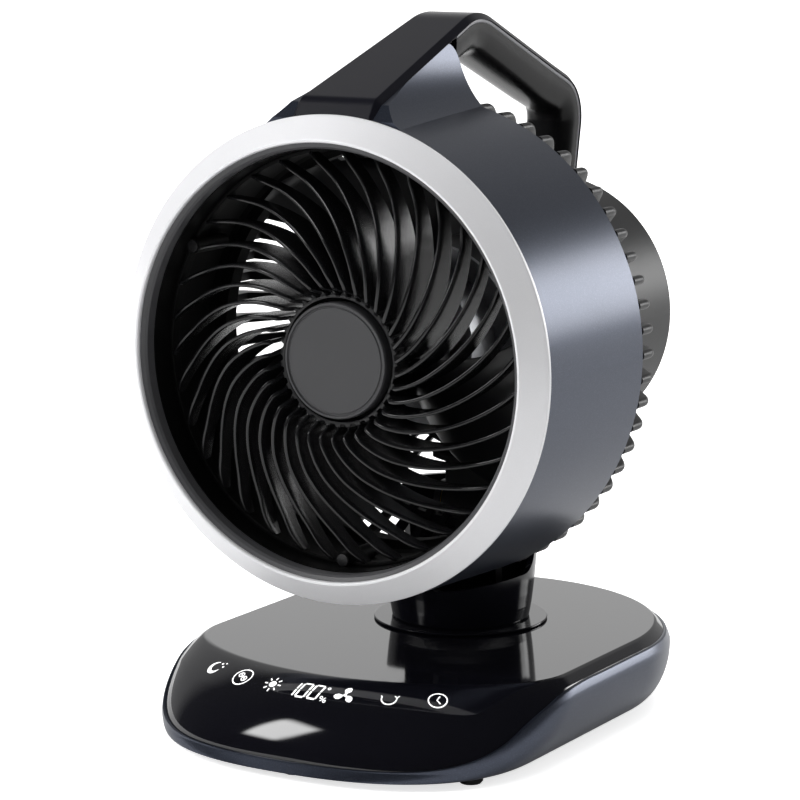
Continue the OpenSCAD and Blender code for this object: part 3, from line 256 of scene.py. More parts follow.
def spun(x, y, angle):
    """x and y turned by an angle about the origin."""
    return x * np.cos(angle) - y * np.sin(angle), x * np.sin(angle) + y * np.cos(angle)


def turned_on_fan(profile, steps=240):
    """A profile of (radius, distance ahead) turned about the fan's axis:
    (r cos a, r sin a, ahead) for a once round."""
    p, a = np.asarray(profile, float), np.linspace(0, 2 * np.pi, steps, endpoint=False)
    return on_fan(p[:, :1] * np.cos(a), p[:, :1] * np.sin(a), p[:, 1:])


def turned_on_neck(profile, steps=160):
    """A profile of (radius, height above the deck) turned about the neck's axis."""
    p, a = np.asarray(profile, float), np.linspace(0, 2 * np.pi, steps, endpoint=False)
    x, y = p[:, :1] * np.cos(a), NECK_Y + p[:, :1] * np.sin(a)
    return np.stack(np.broadcast_arrays(x, y, DECK_Z + p[:, 1:]), -1)


def smooth_between(xs, ys, x):
    """A smooth curve through the stops (xs, ys): the cubic between two stops has the slopes of
    their neighbours' chords."""
    xs, ys = np.asarray(xs, float), np.asarray(ys, float)
    slope = np.gradient(ys, xs)
    x = np.clip(x, xs[0], xs[-1])
    i = np.clip(np.searchsorted(xs, x, side="right") - 1, 0, len(xs) - 2)
    h = xs[i + 1] - xs[i]
    t = (x - xs[i]) / h
    return ((1 + 2 * t) * (1 - t) ** 2 * ys[i] + t * (1 - t) ** 2 * h * slope[i]
            + t ** 2 * (3 - 2 * t) * ys[i + 1] + t ** 2 * (t - 1) * h * slope[i + 1])


# ---- Finishes ----

GRAIN_DEPTH = 0.0001


def feed(tree, socket, value):
    """Links a socket to another one, or sets its value."""
    if isinstance(value, bpy.types.NodeSocket):
        tree.links.new(value, socket)
    else:
        socket.default_value = value


def add_node(tree, kind, inputs=None, **settings):
    """A shader node with its settings, and with named or numbered inputs linked or set."""
    node = tree.nodes.new("ShaderNode" + kind)
    for key, value in settings.items():
        setattr(node, key, value)
    for key, value in (inputs or {}).items():
        feed(tree, node.inputs[key], value)
    return node


def maths(tree, kind, first, *rest):
    """Values joined one after another by Math nodes. A single value goes through one node."""
    for value in rest or (0.0,):
        first = add_node(tree, "Math", {0: first, 1: value}, operation=kind).outputs[0]
    return first


def soft_step(tree, value, start, end, least=0.0):
    """The least value before start and 1 after end, with a smoothstep between them."""
    ramp = add_node(tree, "MapRange", {"Value": value, "From Min": start, "From Max": end,
                                       "To Min": least}, interpolation_type="SMOOTHSTEP")
    return ramp.outputs["Result"]


def along(tree, vector, way):
    """How far a vector goes a way: their dot product."""
    node = add_node(tree, "VectorMath", {0: vector, 1: way}, operation="DOT_PRODUCT")
    return node.outputs["Value"]


def noise(group, inputs, detail):
    """Noise on a group's own Vector and Scale."""
    sockets = {"Vector": inputs["Vector"], "Scale": inputs["Scale"], "Detail": detail}
    return add_node(group, "TexNoise", sockets).outputs["Fac"]


def swing(group, inputs, detail, middle, level):
    """A level that noise moves up and down: (noise - middle) x Amount + level."""
    away = maths(group, "SUBTRACT", noise(group, inputs, detail), middle)
    return maths(group, "ADD", maths(group, "MULTIPLY", away, inputs["Amount"]), level)


def new_group(name, output, kind, **defaults):
    """A node group with a Vector, the inputs whose defaults are given and one output of a kind.
    Gives the group, its inputs and its output."""
    group = bpy.data.node_groups.new(name, "ShaderNodeTree")
    group.interface.new_socket("Vector", in_out="INPUT", socket_type="NodeSocketVector")
    for label, default in defaults.items():
        socket_type = "NodeSocketColor" if isinstance(default, tuple) else "NodeSocketFloat"
        socket = group.interface.new_socket(label, in_out="INPUT", socket_type=socket_type)
        socket.default_value = default
    group.interface.new_socket(output, in_out="OUTPUT", socket_type="NodeSocket" + kind)
    inputs = group.nodes.new("NodeGroupInput").outputs
    return group, inputs, group.nodes.new("NodeGroupOutput").inputs[output]


def make_groups():
    """The effects that several finishes share: fine grain, tone, smears and metal flake."""
    grey = (0.5, 0.5, 0.5, 1)
    group, inputs, output = new_group("fine_grain", "Height", "Float", Scale=2500.0)
    feed(group, output, noise(group, inputs, 3.0))

    group, inputs, output = new_group("tone", "Color", "Color", Color=grey, Amount=0.1, Scale=40.0)
    shade = add_node(group, "HueSaturation", {"Value": swing(group, inputs, 4.0, 0.5, 1.0),
                                              "Color": inputs["Color"]})
    feed(group, output, shade.outputs["Color"])

    group, inputs, output = new_group("smears", "Roughness", "Float", Roughness=0.3, Amount=0.05,
                                      Scale=25.0)
    rough = swing(group, inputs, 5.0, 0.45, inputs["Roughness"])
    feed(group, output, maths(group, "MAXIMUM", rough, 0.02))

    group, inputs, output = new_group("metal_flake", "Color", "Color", Color=grey,
                                      Flake=(1, 1, 1, 1), Amount=0.2, Scale=3000.0)
    cells = add_node(group, "TexVoronoi", {"Vector": inputs["Vector"], "Scale": inputs["Scale"]})
    bright = maths(group, "POWER", cells.outputs["Color"], 4.0)
    share = maths(group, "MULTIPLY", bright, inputs["Amount"])
    mix = add_node(group, "Mix", {"Factor": share, "A": inputs["Color"], "B": inputs["Flake"]},
                   data_type="RGBA")
    feed(group, output, mix.outputs["Result"])


def effect(tree, name, **inputs):
    """The output of a shared effect with its own inputs."""
    return add_node(tree, "Group", inputs, node_tree=bpy.data.node_groups[name]).outputs[0]


def finish(name, base, roughness, metallic=0.0, tone=0.2, tone_scale=40.0, smear=0.05,
           smear_scale=25.0, grain=0.0, grain_scale=2500.0, flake=None, coat=0.0,
           coat_roughness=0.05, ior=1.5, emission=0.0):
    """A moulded or painted finish on object coordinates: base colour with tone and flake, roughness
    with smears, and a fine grain as bump."""
    material = bpy.data.materials.new(name)
    material.use_nodes = True
    tree = material.node_tree
    place = add_node(tree, "TexCoord").outputs["Object"]
    paint = effect(tree, "tone", Vector=place, Color=base, Amount=tone, Scale=tone_scale)
    if flake:
        paint = effect(tree, "metal_flake", Vector=place, Color=paint, Flake=flake[0],
                       Amount=flake[1], Scale=flake[2])
    smears = effect(tree, "smears", Vector=place, Roughness=roughness, Amount=smear,
                    Scale=smear_scale)
    inputs = {"Base Color": paint, "Roughness": smears, "Metallic": metallic, "IOR": ior,
              "Coat Weight": coat, "Coat Roughness": coat_roughness}
    if grain:
        fine = effect(tree, "fine_grain", Vector=place, Scale=grain_scale)
        bump = add_node(tree, "Bump", {"Strength": grain, "Distance": GRAIN_DEPTH, "Height": fine})
        inputs["Normal"] = bump.outputs["Normal"]
    if emission:
        inputs.update({"Emission Color": base, "Emission Strength": emission})
    for key, value in inputs.items():
        feed(tree, tree.nodes["Principled BSDF"].inputs[key], value)
    return material


def make_finishes():
    """All finishes of the fan, by name."""
    make_groups()
    return {
        "gunmetal": finish("gunmetal_paint", tint("gunmetal"), 0.32, metallic=0.85, tone=0.06,
                           flake=(tint("gunmetal", 2.4), 0.5, 4200.0), smear=0.04, coat=0.25,
                           coat_roughness=0.2),
        "piano": finish("piano_gloss", tint("piano"), 0.06, smear=0.03, smear_scale=12.0,
                        ior=1.65),
        "neck": finish("neck_gloss", tint("piano"), 0.12, smear=0.04, smear_scale=14.0),
        "vane": finish("vane_black", tint("satin_black", 0.7), 0.24, smear=0.08, grain=0.15),
        # Painted shade: the duct's satin black is darkened to 0.12 of the other black plastics and
        # given a low IOR that dims its reflections, so the deep inside of the drum reads as shade
        "duct": finish("duct_black", tint("satin_black", 0.12), 0.6, smear=0.06, grain=0.2,
                       ior=1.25),
        "blade": finish("blade_black", tint("satin_black", 1.1), 0.3, smear=0.06, grain=0.1),
        "rib": finish("rib_black", tint("satin_black", 1.1), 0.4, smear=0.06, grain=0.25),
        "strip": finish("strip_black", tint("piano", 1.5), 0.28, smear=0.05, grain=0.2,
                        ior=1.38),
        "grip": finish("grip_black", tint("satin_black", 0.35), 0.26, smear=0.06, grain=0.2,
                       ior=1.3),
        "silver": finish("bezel_satin", tint("silver"), 0.4, metallic=0.25, tone=0.03, smear=0.04,
                         flake=(tint("silver", 1.4), 0.25, 5200.0)),
        "ring": finish("ring_grey", tint("trim", 0.8), 0.4, tone=0.1, grain=0.2),
        "medallion": finish("medallion_grey", tint("trim", 0.6), 0.42, tone=0.1, grain=0.3),
        "hub": finish("hub_black", tint("satin_black", 1.0), 0.34, tone=0.15, grain=0.2),
        "trim": finish("trim_grey", tint("trim", 3.4), 0.45, metallic=0.2, tone=0.08, grain=0.2),
        "legend": finish("legend_white", tint("legend"), 0.5, tone=0.02, emission=0.75),
        "rubber": finish("rubber_black", (0.012, 0.012, 0.012, 1), 0.75, tone=0.3, grain=0.6,
                         grain_scale=1500.0),
        "steel": finish("steel_zinc", (0.42, 0.43, 0.45, 1), 0.32, metallic=1.0, tone=0.15,
                        smear=0.15),
        "cell": finish("cell_sleeve", (0.03, 0.08, 0.16, 1), 0.35, smear=0.1),
        "aluminium": finish("aluminium_cast", (0.50, 0.51, 0.53, 1), 0.42, metallic=1.0, tone=0.12,
                            grain=0.4, grain_scale=1200.0),
        "brass": finish("brass_turned", (0.62, 0.42, 0.14, 1), 0.28, metallic=1.0, tone=0.12,
                        smear=0.1),
        "acetal": finish("acetal_white", (0.62, 0.60, 0.54, 1), 0.4, tone=0.06, smear=0.05),
        "board": finish("circuit_board", (0.012, 0.075, 0.03, 1), 0.38, tone=0.35, tone_scale=300.0,
                        smear=0.1),
    }


FINISHES = {}

# Solids that keep their own shape, with the finish each gets
KEPT_NODES = {
    "gunmetal": ["drum_shell"],
    "neck": ["neck_shell"],
    # The air duct gets the duct's painted shade: satin black darkened so the drum's inside reads as
    # shade
    "duct": ["air_duct"],
    "rib": ["motor_housing", "tilt_knuckle", "tilt_fork"],
    "vane": ["grille_screws"],
    "rubber": ["rubber_feet"],
    "steel": ["base_screws", "charge_port", "pan_motor", "pan_gear_screws", "tilt_pin",
              "housing_screws", "motor_screws", "motor_stator", "motor_bearings", "motor_shaft",
              "motor_rotor"],
    "cell": ["battery_cells"],
    "acetal": ["battery_cradle", "pan_bush", "pan_pinion", "pan_gear"],
    "brass": ["tilt_washers"],
    "aluminium": ["motor_case"],
    "board": ["control_board", "touch_board", "motor_board"],
    "hub": ["impeller_nut", "display_block"],
}


# ---- Base ----

# Side wall: height of the belly as a share of the base's height, power of the bilge below it,
# and how far and with what power the wall is drawn in to the deck
BELLY_SHARE, BILGE_POWER = 0.74, 1.8
DECK_NARROWING, NARROWING_POWER = 3.5, 1.2
# Front: how far the lip leans back, and the power of the apron's curve
LIP_LEAN, APRON_POWER = 1.5, 1.65
# Stops of the parting line: distance ahead of the neck's axis, and height over the deck
PARTING = [[-95, -3.6], [35, -3.6], [58, -3.7], [70, -4.6], [80, -7], [94, -12.5], [103, -17.5],
           [112, -21.5]]
# Bevel of the deck's edge: depth and width
DECK_BEVEL = (3.6, 1.7)
# Charge port: height of its middle over the base's underside, room across and up for close rows,
# half width, corner radius, half of the straight ends, and width of the pocket's edge
PORT_H, PORT_ROOM = 12, (5.6, 2.6)
PORT_HALF_W, PORT_CORNER, PORT_STRAIGHT, PORT_EDGE = 4.8, 1.8, 0.1, 0.3
# Depth of the port's pocket as a share of the wall
PORT_DEPTH = 0.85


def base_height():
    """Height of the deck over the base's underside."""
    return DECK_Z - FOOT_H


def base_width_at(h):
    """Half width at a height: an elliptic bilge up to the belly, then drawn in to the deck."""
    top, wide, foot = base_height(), mm("base_half_w"), mm("base_foot_half_w")
    belly = BELLY_SHARE * top
    bilge = np.maximum(0, 1 - np.maximum(0, 1 - h / belly) ** 2) ** (1 / BILGE_POWER)
    low_part = foot + (wide - foot) * bilge
    drawn_in = np.maximum(0, (h - belly) / (top - belly)) ** NARROWING_POWER
    return np.where(h < belly, low_part, wide - DECK_NARROWING * drawn_in)


def base_reach_at(h):
    """Reach of the front at a height: the upright lip, then a superellipse up to the deck."""
    top, lip, reach, deck = base_height(), mm("lip_h"), mm("base_reach"), mm("deck_reach")
    rise = np.clip((h - lip) / (top - lip), 0, 1)
    curve = np.maximum(0, 1 - rise ** APRON_POWER) ** (1 / APRON_POWER)
    apron = deck + (reach - LIP_LEAN - deck) * curve
    return np.where(h < lip, reach - LIP_LEAN * h / lip, apron)


def front_shape(h):
    """At a height, the distance ahead at which the front's superellipse starts, and its power."""
    top = base_height()
    return 85 - 25 * h / top, 2.4 - 0.5 * h / top


def rear_angles():
    """Angles of the loop's points round the rear, close together where the charge port is."""
    near = np.pi / 2 + np.linspace(-PORT_ROOM[0], PORT_ROOM[0], 41) / mm("base_half_w")
    even = np.linspace(0, np.pi, 72)
    return np.sort(np.concatenate([even[np.abs(even - np.pi / 2) > near[-1] - np.pi / 2], near]))


def base_loop(h, inset, side=26, front=110):
    """Closed loops of the base at heights h, one row each: a half circle behind the neck, straight
    sides, and the superellipse |x/w|^n + |y/(reach-c)|^n = 1 in front of them. h may differ from
    point to point along a loop."""
    a = rear_angles()
    rear = len(a)
    count = rear + front + 2 * side
    h = np.broadcast_to(np.asarray(h, float), (np.shape(h)[0], count))
    inset = np.broadcast_to(np.asarray(inset, float), h.shape)
    w, reach = base_width_at(h) - inset, base_reach_at(h) - inset
    c, n = front_shape(h)
    parts = np.cumsum([0, rear, side, front, side])
    block = [slice(parts[k], parts[k + 1]) for k in range(4)]
    x, ahead = np.empty_like(h), np.empty_like(h)
    behind, left, before, right = (np.s_[:, b] for b in block)
    x[behind], ahead[behind] = w[behind] * np.cos(a), -w[behind] * np.sin(a)
    t = np.linspace(0, 1, side + 2)[1:-1]
    x[left], ahead[left] = -w[left], c[left] * t
    a = np.linspace(0, np.pi, front)
    p = 2 / n[before]
    x[before] = -w[before] * np.sign(np.cos(a)) * np.abs(np.cos(a)) ** p
    ahead[before] = c[before] + (reach[before] - c[before]) * np.abs(np.sin(a)) ** p
    x[right], ahead[right] = w[right], c[right] * (1 - t)
    return np.stack([x, NECK_Y - ahead, FOOT_H + h], -1)


def parting_height(ahead):
    """Height of the line between the shell and its cover, over the base's underside."""
    top, reach, lip = base_height(), mm("base_reach"), mm("lip_h")
    stops = np.array([[a, top + d] for a, d in PARTING] + [[126, lip + 1.5], [reach + 5, lip]])
    return smooth_between(stops[:, 0], stops[:, 1], ahead)


def parting_on_loop(inset):
    """For every point of the loop, the height at which the base's wall meets the parting line."""
    scan = np.linspace(0, base_height(), 700)[:, None]
    grid = base_loop(scan, inset)
    over = scan - parting_height(NECK_Y - grid[..., 1])
    first = np.argmax(over >= 0, axis=0)
    j = np.arange(grid.shape[1])
    before, after = over[first - 1, j], over[first, j]
    return scan[first - 1, 0] + (scan[1, 0] - scan[0, 0]) * -before / (after - before)


def make_shell():
    """Lower shell: the outer wall up to the parting line, a rounded rim and the inner wall. At the
    charge port the outer wall sinks by a share of the wall times smoothstep(-d / edge), with d the
    distance from a rounded oblong, negative inside it."""
    wall, rim = mm("base_wall"), mm("rim_w")
    line = parting_on_loop(0.0)[None, :]
    even = np.linspace(0, 1, 26) ** 1.7 * 0.97 * line.max()
    port = np.linspace(PORT_H - PORT_ROOM[1], PORT_H + PORT_ROOM[1], 23)
    even = even[(even < port[0] - PORT_EDGE) | (even > port[-1] + PORT_EDGE)]
    rows = np.sort(np.concatenate([even, port]))[:, None]
    heights = [line * rows / line.max()]
    insets = [np.zeros((len(rows), 1))]
    for drop, inset in [(0.5, 0), (0.22, 0.06), (0.07, 0.2), (0, 0.42), (0, rim - 0.1), (0.5, rim),
                        (0.5, wall)]:
        heights.append(line - drop)
        insets.append(np.full((1, 1), inset))
    down = np.linspace(0.92, 0, 12)[:, None]
    heights.append(wall + (line - 0.5 - wall).clip(0.2) * down)
    insets.append(np.full((12, 1), wall))
    h = np.concatenate(heights)
    grid = base_loop(h, np.concatenate(insets))
    across = np.maximum(np.abs(grid[..., 0]) - (PORT_HALF_W - PORT_CORNER), 0)
    up = np.maximum(np.abs(h - PORT_H) - PORT_STRAIGHT, 0)
    sink = np.clip((PORT_CORNER - np.hypot(across, up)) / PORT_EDGE, 0, 1)
    rear_wall = (grid[..., 1] > NECK_Y + 60) & (np.arange(len(h)) < len(rows))[:, None]
    grid[..., 1] -= np.where(rear_wall, PORT_DEPTH * wall * sink * sink * (3 - 2 * sink), 0)
    return Lofts().add(grid).finish("lower_shell", "base", "gunmetal_paint", FINISHES["gunmetal"],
                                    replaces=["base_shell"], sharp=48)


def make_cover():
    """Gloss cover: the apron and the sides up to a bevelled edge, the flat deck to the bearing's
    hole, and the inside of the wall."""
    wall, rim, edge, top = mm("base_wall"), mm("rim_w"), mm("deck_edge"), base_height()
    line = parting_on_loop(rim)[None, :] - 0.35
    u = np.linspace(0, 1, 64)[:, None]
    h = top - (top - line) * (1 - u) ** 2
    near = np.clip(edge - (top - h), 0, edge)
    depth, width = DECK_BEVEL

    def beside(h):
        """1 beside and behind the deck, falling to 0 at the apron."""
        return np.interp(NECK_Y - base_loop(h, rim)[..., 1], [62, 84], [1, 0])

    bevel = width * beside(h) * np.clip(1 - (top - h) / depth, 0, 1)
    outer = base_loop(h, rim + bevel + edge - np.sqrt(edge ** 2 - near ** 2))
    flat = np.full((1, h.shape[1]), top)
    rim_top = base_loop(flat, rim + width * beside(flat) + edge + 0.4)
    hole_r = 500 * (high("pan_bush", 0) - low("pan_bush", 0)) - 2.6
    angle = np.arctan2(rim_top[0, :, 1] - NECK_Y, rim_top[0, :, 0])
    circle = np.stack([hole_r * np.cos(angle), NECK_Y + hole_r * np.sin(angle)], -1)

    def hole(z):
        return np.concatenate([circle, np.full((len(angle), 1), z)], 1)[None]

    h_in = (top - wall) - (top - wall - line).clip(0.1) * np.linspace(0, 1, 30)[:, None] ** 2
    inner = base_loop(h_in, rim + wall)
    grid = np.concatenate([outer, rim_top, hole(DECK_Z), hole(DECK_Z - wall), inner])
    return Lofts().add(grid, torus=True).finish(
        "touch_cover", "base", "piano_black", FINISHES["piano"], replaces=["base_cover"], sharp=48)


def apron_height(x, ahead):
    """Height of the cover over a place of its apron, found by halving: the loop at that height
    passes through the place."""
    rim = mm("rim_w")
    lo, hi = np.full(np.shape(x), mm("lip_h")), np.full(np.shape(x), base_height())
    for _ in range(40):
        h = (lo + hi) / 2
        w, reach = base_width_at(h) - rim, base_reach_at(h) - rim
        c, n = front_shape(h)
        inside = np.abs(x / w) ** n + np.maximum(0, (ahead - c) / (reach - c)) ** n < 1
        lo, hi = np.where(inside, h, lo), np.where(inside, hi, h)
    return lo


# Height of the signs' line over the base's underside, slope of the apron there, and the signs'
# places to the side
SIGN_H = 27.5
SIGN_SLOPE = math.radians(27)
SIGN_X = {"night": -49.6, "twin_fans": -32.3, "lamp": -16.1, "level": 0.0, "speed": 16.7,
          "swing": 33.9, "timer": 51.1}


def sign_line(x):
    """Distance ahead of the signs' line at a side offset: the cover's loop at the signs' height."""
    h = np.array(SIGN_H)
    w, reach = base_width_at(h) - mm("rim_w"), base_reach_at(h) - mm("rim_w")
    c, n = front_shape(h)
    return c + (reach - c) * (1 - np.abs(x / w) ** n) ** (1 / n)


def on_apron(u, v, lift, x0):
    """Points of a sign at a side offset x0 on the apron, from its own right, up and out
    directions."""
    step = 0.5
    slope = (sign_line(x0 + step) - sign_line(x0 - step)) / (2 * step)
    tx, ta = 1 / math.hypot(1, slope), slope / math.hypot(1, slope)
    run = v * math.cos(SIGN_SLOPE)
    x = x0 + u * tx + run * ta
    ahead = sign_line(x0) + u * ta - run * tx
    z = FOOT_H + apron_height(x, ahead) + lift / math.cos(SIGN_SLOPE)
    return np.stack([x, NECK_Y - ahead, z], -1)


def stroke(path, width, closed=False):
    """A flat stroke along a path: rows of four corners, left and right of the path, out and in."""
    p = np.asarray(path, float)
    ahead, behind = np.roll(p, -1, 0), np.roll(p, 1, 0)
    if not closed:
        ahead[-1], behind[0] = p[-1], p[0]
    t = ahead - behind
    t = t / np.linalg.norm(t, axis=1, keepdims=True)
    n = np.stack([-t[:, 1], t[:, 0]], -1) * (np.asarray(width) / 2 * np.ones(len(p)))[:, None]
    uv = np.stack([p + n, p - n, p - n, p + n], 1)
    lift = np.broadcast_to([0.07, 0.07, -0.05, -0.05], uv.shape[:2])
    return np.concatenate([uv, lift[..., None]], -1)


def arc(radius, start, stop, count=24, centre=(0, 0)):
    """Points of an arc, angles in degrees."""
    a = np.radians(np.linspace(start, stop, count))
    return np.stack([centre[0] + radius * np.cos(a), centre[1] + radius * np.sin(a)], -1)


def make_signs():
    """The lit signs of the touch panel, each a set of flat strokes laid on the apron: night, twin
    fans, lamp, level, speed, swing and timer."""
    pieces = Lofts()

    def lay(strokes, sign):
        for rows, closed in strokes:
            pieces.add(on_apron(rows[..., 0], rows[..., 1], rows[..., 2], SIGN_X[sign]),
                       torus=closed)

    def line(path, width):
        return stroke(path, width), False

    def ring(radius, width, centre=(0, 0), count=48):
        return stroke(arc(radius, 0, 360, count + 1, centre)[:-1], width, True), True

    def dot(radius, centre=(0, 0)):
        return ring(radius / 2, radius * 0.98, centre, 20)

    swell = np.sin(np.linspace(0.12, np.pi - 0.12, 30)) ** 1.5
    lay([line(arc(2.9, 100, 350, 30), 0.25 + 1.5 * swell),
         dot(0.5, (1.5, 2.7)), dot(0.5, (3.6, 1.4)), dot(0.4, (3.3, 3.6))], "night")
    lay([ring(4.3, 0.5), ring(1.15, 0.45, (-1.35, 0.75)), ring(1.15, 0.45, (1.35, -0.75)),
         line([(-2.2, 1.6), (-0.5, 0.1)], 0.45), line([(0.5, 0.2), (2.2, -1.6)], 0.45)],
        "twin_fans")
    lay([dot(1.6)] + [line(np.outer([2.5, 3.9], [math.cos(a), math.sin(a)]), 0.55)
                      for a in np.arange(8) * math.pi / 4], "lamp")
    # Seven-segment digits: half width w, half height h, gaps g, leaning to the right
    lean = np.array([[1, 0], [0.16, 1]])
    w, h, g = 1.9, 3.7, 0.26
    segments = {"a": [(-w + g, h), (w - g, h)], "b": [(w, h - g), (w, g)],
                "c": [(w, -g), (w, -h + g)], "d": [(-w + g, -h), (w - g, -h)],
                "e": [(-w, -g), (-w, -h + g)], "f": [(-w, h - g), (-w, g)]}
    for place, lit in [(-6.2, "bc"), (-0.9, "abcdef"), (4.4, "abcdef")]:
        lay([line((np.array(segments[s]) @ lean) + [place, 0], 0.75) for s in lit], "level")
    lay([ring(0.55, 0.3, (8.0, -2.3), 16), ring(0.55, 0.3, (9.9, -3.7), 16),
         line([(8.1, -4.0), (9.9, -2.0)], 0.3), ring(0.6, 0.3, (8.9, 2.9), 16)], "level")
    petals = []
    for k in range(3):
        turn = 2 * math.pi * k / 3 + 0.5
        spin = np.array([[math.cos(turn), math.sin(turn)], [-math.sin(turn), math.cos(turn)]])
        width = 0.3 + 2.5 * np.sin(np.linspace(0.05, np.pi - 0.35, 14))
        petals.append(line(arc(2.1, 175, 80, 14, (2.9, 0.4)) @ spin, width))
    lay(petals + [dot(0.75)], "speed")
    lay([line(arc(3.0, 165, 375, 32), 0.5), line([(2.0, 1.5), (3.0, 0.7), (3.8, 1.7)], 0.45),
         line([(-3.4, 1.5), (-2.9, 0.8)], 0.45)], "swing")
    lay([ring(3.6, 0.5), line([(0.8, 2.0), (-0.3, 0), (1.0, -1.9)], 0.5)], "timer")
    return pieces.finish("panel_signs", "base", "grey_trim", FINISHES["legend"], sharp=60)


# ---- Turntable ----

# Width of the disc's thin rim round the step that carries the neck
RIM_W = 8.8


def make_disc():
    """Turntable: the thin disc on the deck, the step that carries the neck and the spigot that
    turns in the base."""
    box_low = 1000 * low("turntable", 2) - DECK_Z
    top = 1000 * high("turntable", 2) - DECK_Z
    r = mm("disc_r")
    step = r - RIM_W
    profile = rounded([(12, box_low), (26, box_low), (26, 0.35), (r, 0.35), (r, 1.2), (step, 1.2),
                       (step, top), (12, top)], [0.3, 0.5, 0.2, 0.2, 0.35, 0.2, 0.1, 0.3])
    return Lofts().add(turned_on_neck(profile), torus=True).finish(
        "turntable_disc", "turntable", "piano_black", FINISHES["neck"], replaces=["turntable"])


# ---- Head ----

# Where the posts of the grille's screws stand round the rim, in degrees
POST_ANGLES = [30, 150, 270]


def edge_ahead():
    """Distance of the bezel's outer edge ahead of the neck's axis."""
    return mm("lip_ahead") - mm("lip_rise")


def duct_r():
    """Radius of the opening inside the dark ring."""
    return mm("bezel_r") - mm("bezel_w") - mm("ring_w")


def make_bezel():
    """Bezel: a conical face between a rounded outer edge and a polished lip."""
    r, ahead = mm("bezel_r"), edge_ahead()
    lip, front = r - mm("bezel_w"), mm("lip_ahead")
    profile = rounded(
        [(r, ahead - 2), (r, ahead - 0.6), (r - 0.7, ahead), (lip + 1.2, front),
         (lip + 0.35, front - 0.15), (lip, front - 0.9), (lip, front - 6), (lip + 2, front - 6),
         (lip + 2, front - 3.6), (r - 4.6, ahead - 3), (r - 4.6, ahead - 6), (r - 2.5, ahead - 6),
         (r - 2.5, ahead - 2)],
        [0.05, 0.5, mm("bezel_edge"), 0.4, 0.5, 0.3, 0.2, 0.2, 0.2, 0.2, 0.2, 0.2, 0.2])
    return Lofts().add(turned_on_fan(profile, 320), torus=True).finish(
        "bezel", "head", "satin_silver", FINISHES["silver"], replaces=["front_bezel"])


def make_ring():
    """Dark ring inside the lip, which steps down to the duct."""
    lip, front = mm("bezel_r") - mm("bezel_w"), mm("lip_ahead")
    inner = lip - mm("ring_w") + 0.4
    profile = rounded([(inner, front - 8), (lip, front - 8), (lip, front - 1.6),
                       (inner + 0.8, front - 2.4), (inner, front - 3.4)],
                      [0.1, 0.1, 0.1, 0.4, 0.3])
    return Lofts().add(turned_on_fan(profile, 320), torus=True).finish(
        "dark_ring", "head", "grey_trim", FINISHES["ring"], replaces=["inner_ring"])


def vane_angle(r):
    """Angle of a vane's middle line at a radius, in radians: almost straight at the hub, then
    sweeping on to the rim."""
    root = mm("hub_ring_r") + 3.6
    rim = duct_r()
    u = np.maximum(0, (r - root) / (rim - 5 - root))
    sweep = math.degrees(bpy.context.scene.fan_sizes.vane_sweep) - 6
    angle = 5 + sweep * (0.86 * u + 0.14 * np.sin(np.pi / 2 * np.minimum(1, u)))
    return np.radians(angle - np.where(r < root, 0.25 * (root - r) ** 2, 0))


def vane_front(r):
    """Distance ahead of a vane's front edge at a radius: out of the hub ring, over the crown and
    back to the rim."""
    hub, crown = mm("hub_ring_r"), edge_ahead() + 1.4
    rim = duct_r()
    share = np.array([0.21, 0.358, 0.48, 0.63, 0.785, 0.91, 0.965]) * (rim - hub) + hub
    xs = np.concatenate([[hub - 2.4, hub + 0.6, hub + 2, hub + 5], share, [rim + 2]])
    ys = crown + np.array([-8, -7, -2.4, -0.4, 0, -1.1, -3.6, -7.2, -10.3, -11, -12.6, -17])
    return np.interp(r, xs, ys) * 0.35 + smooth_between(xs, ys, r) * 0.65


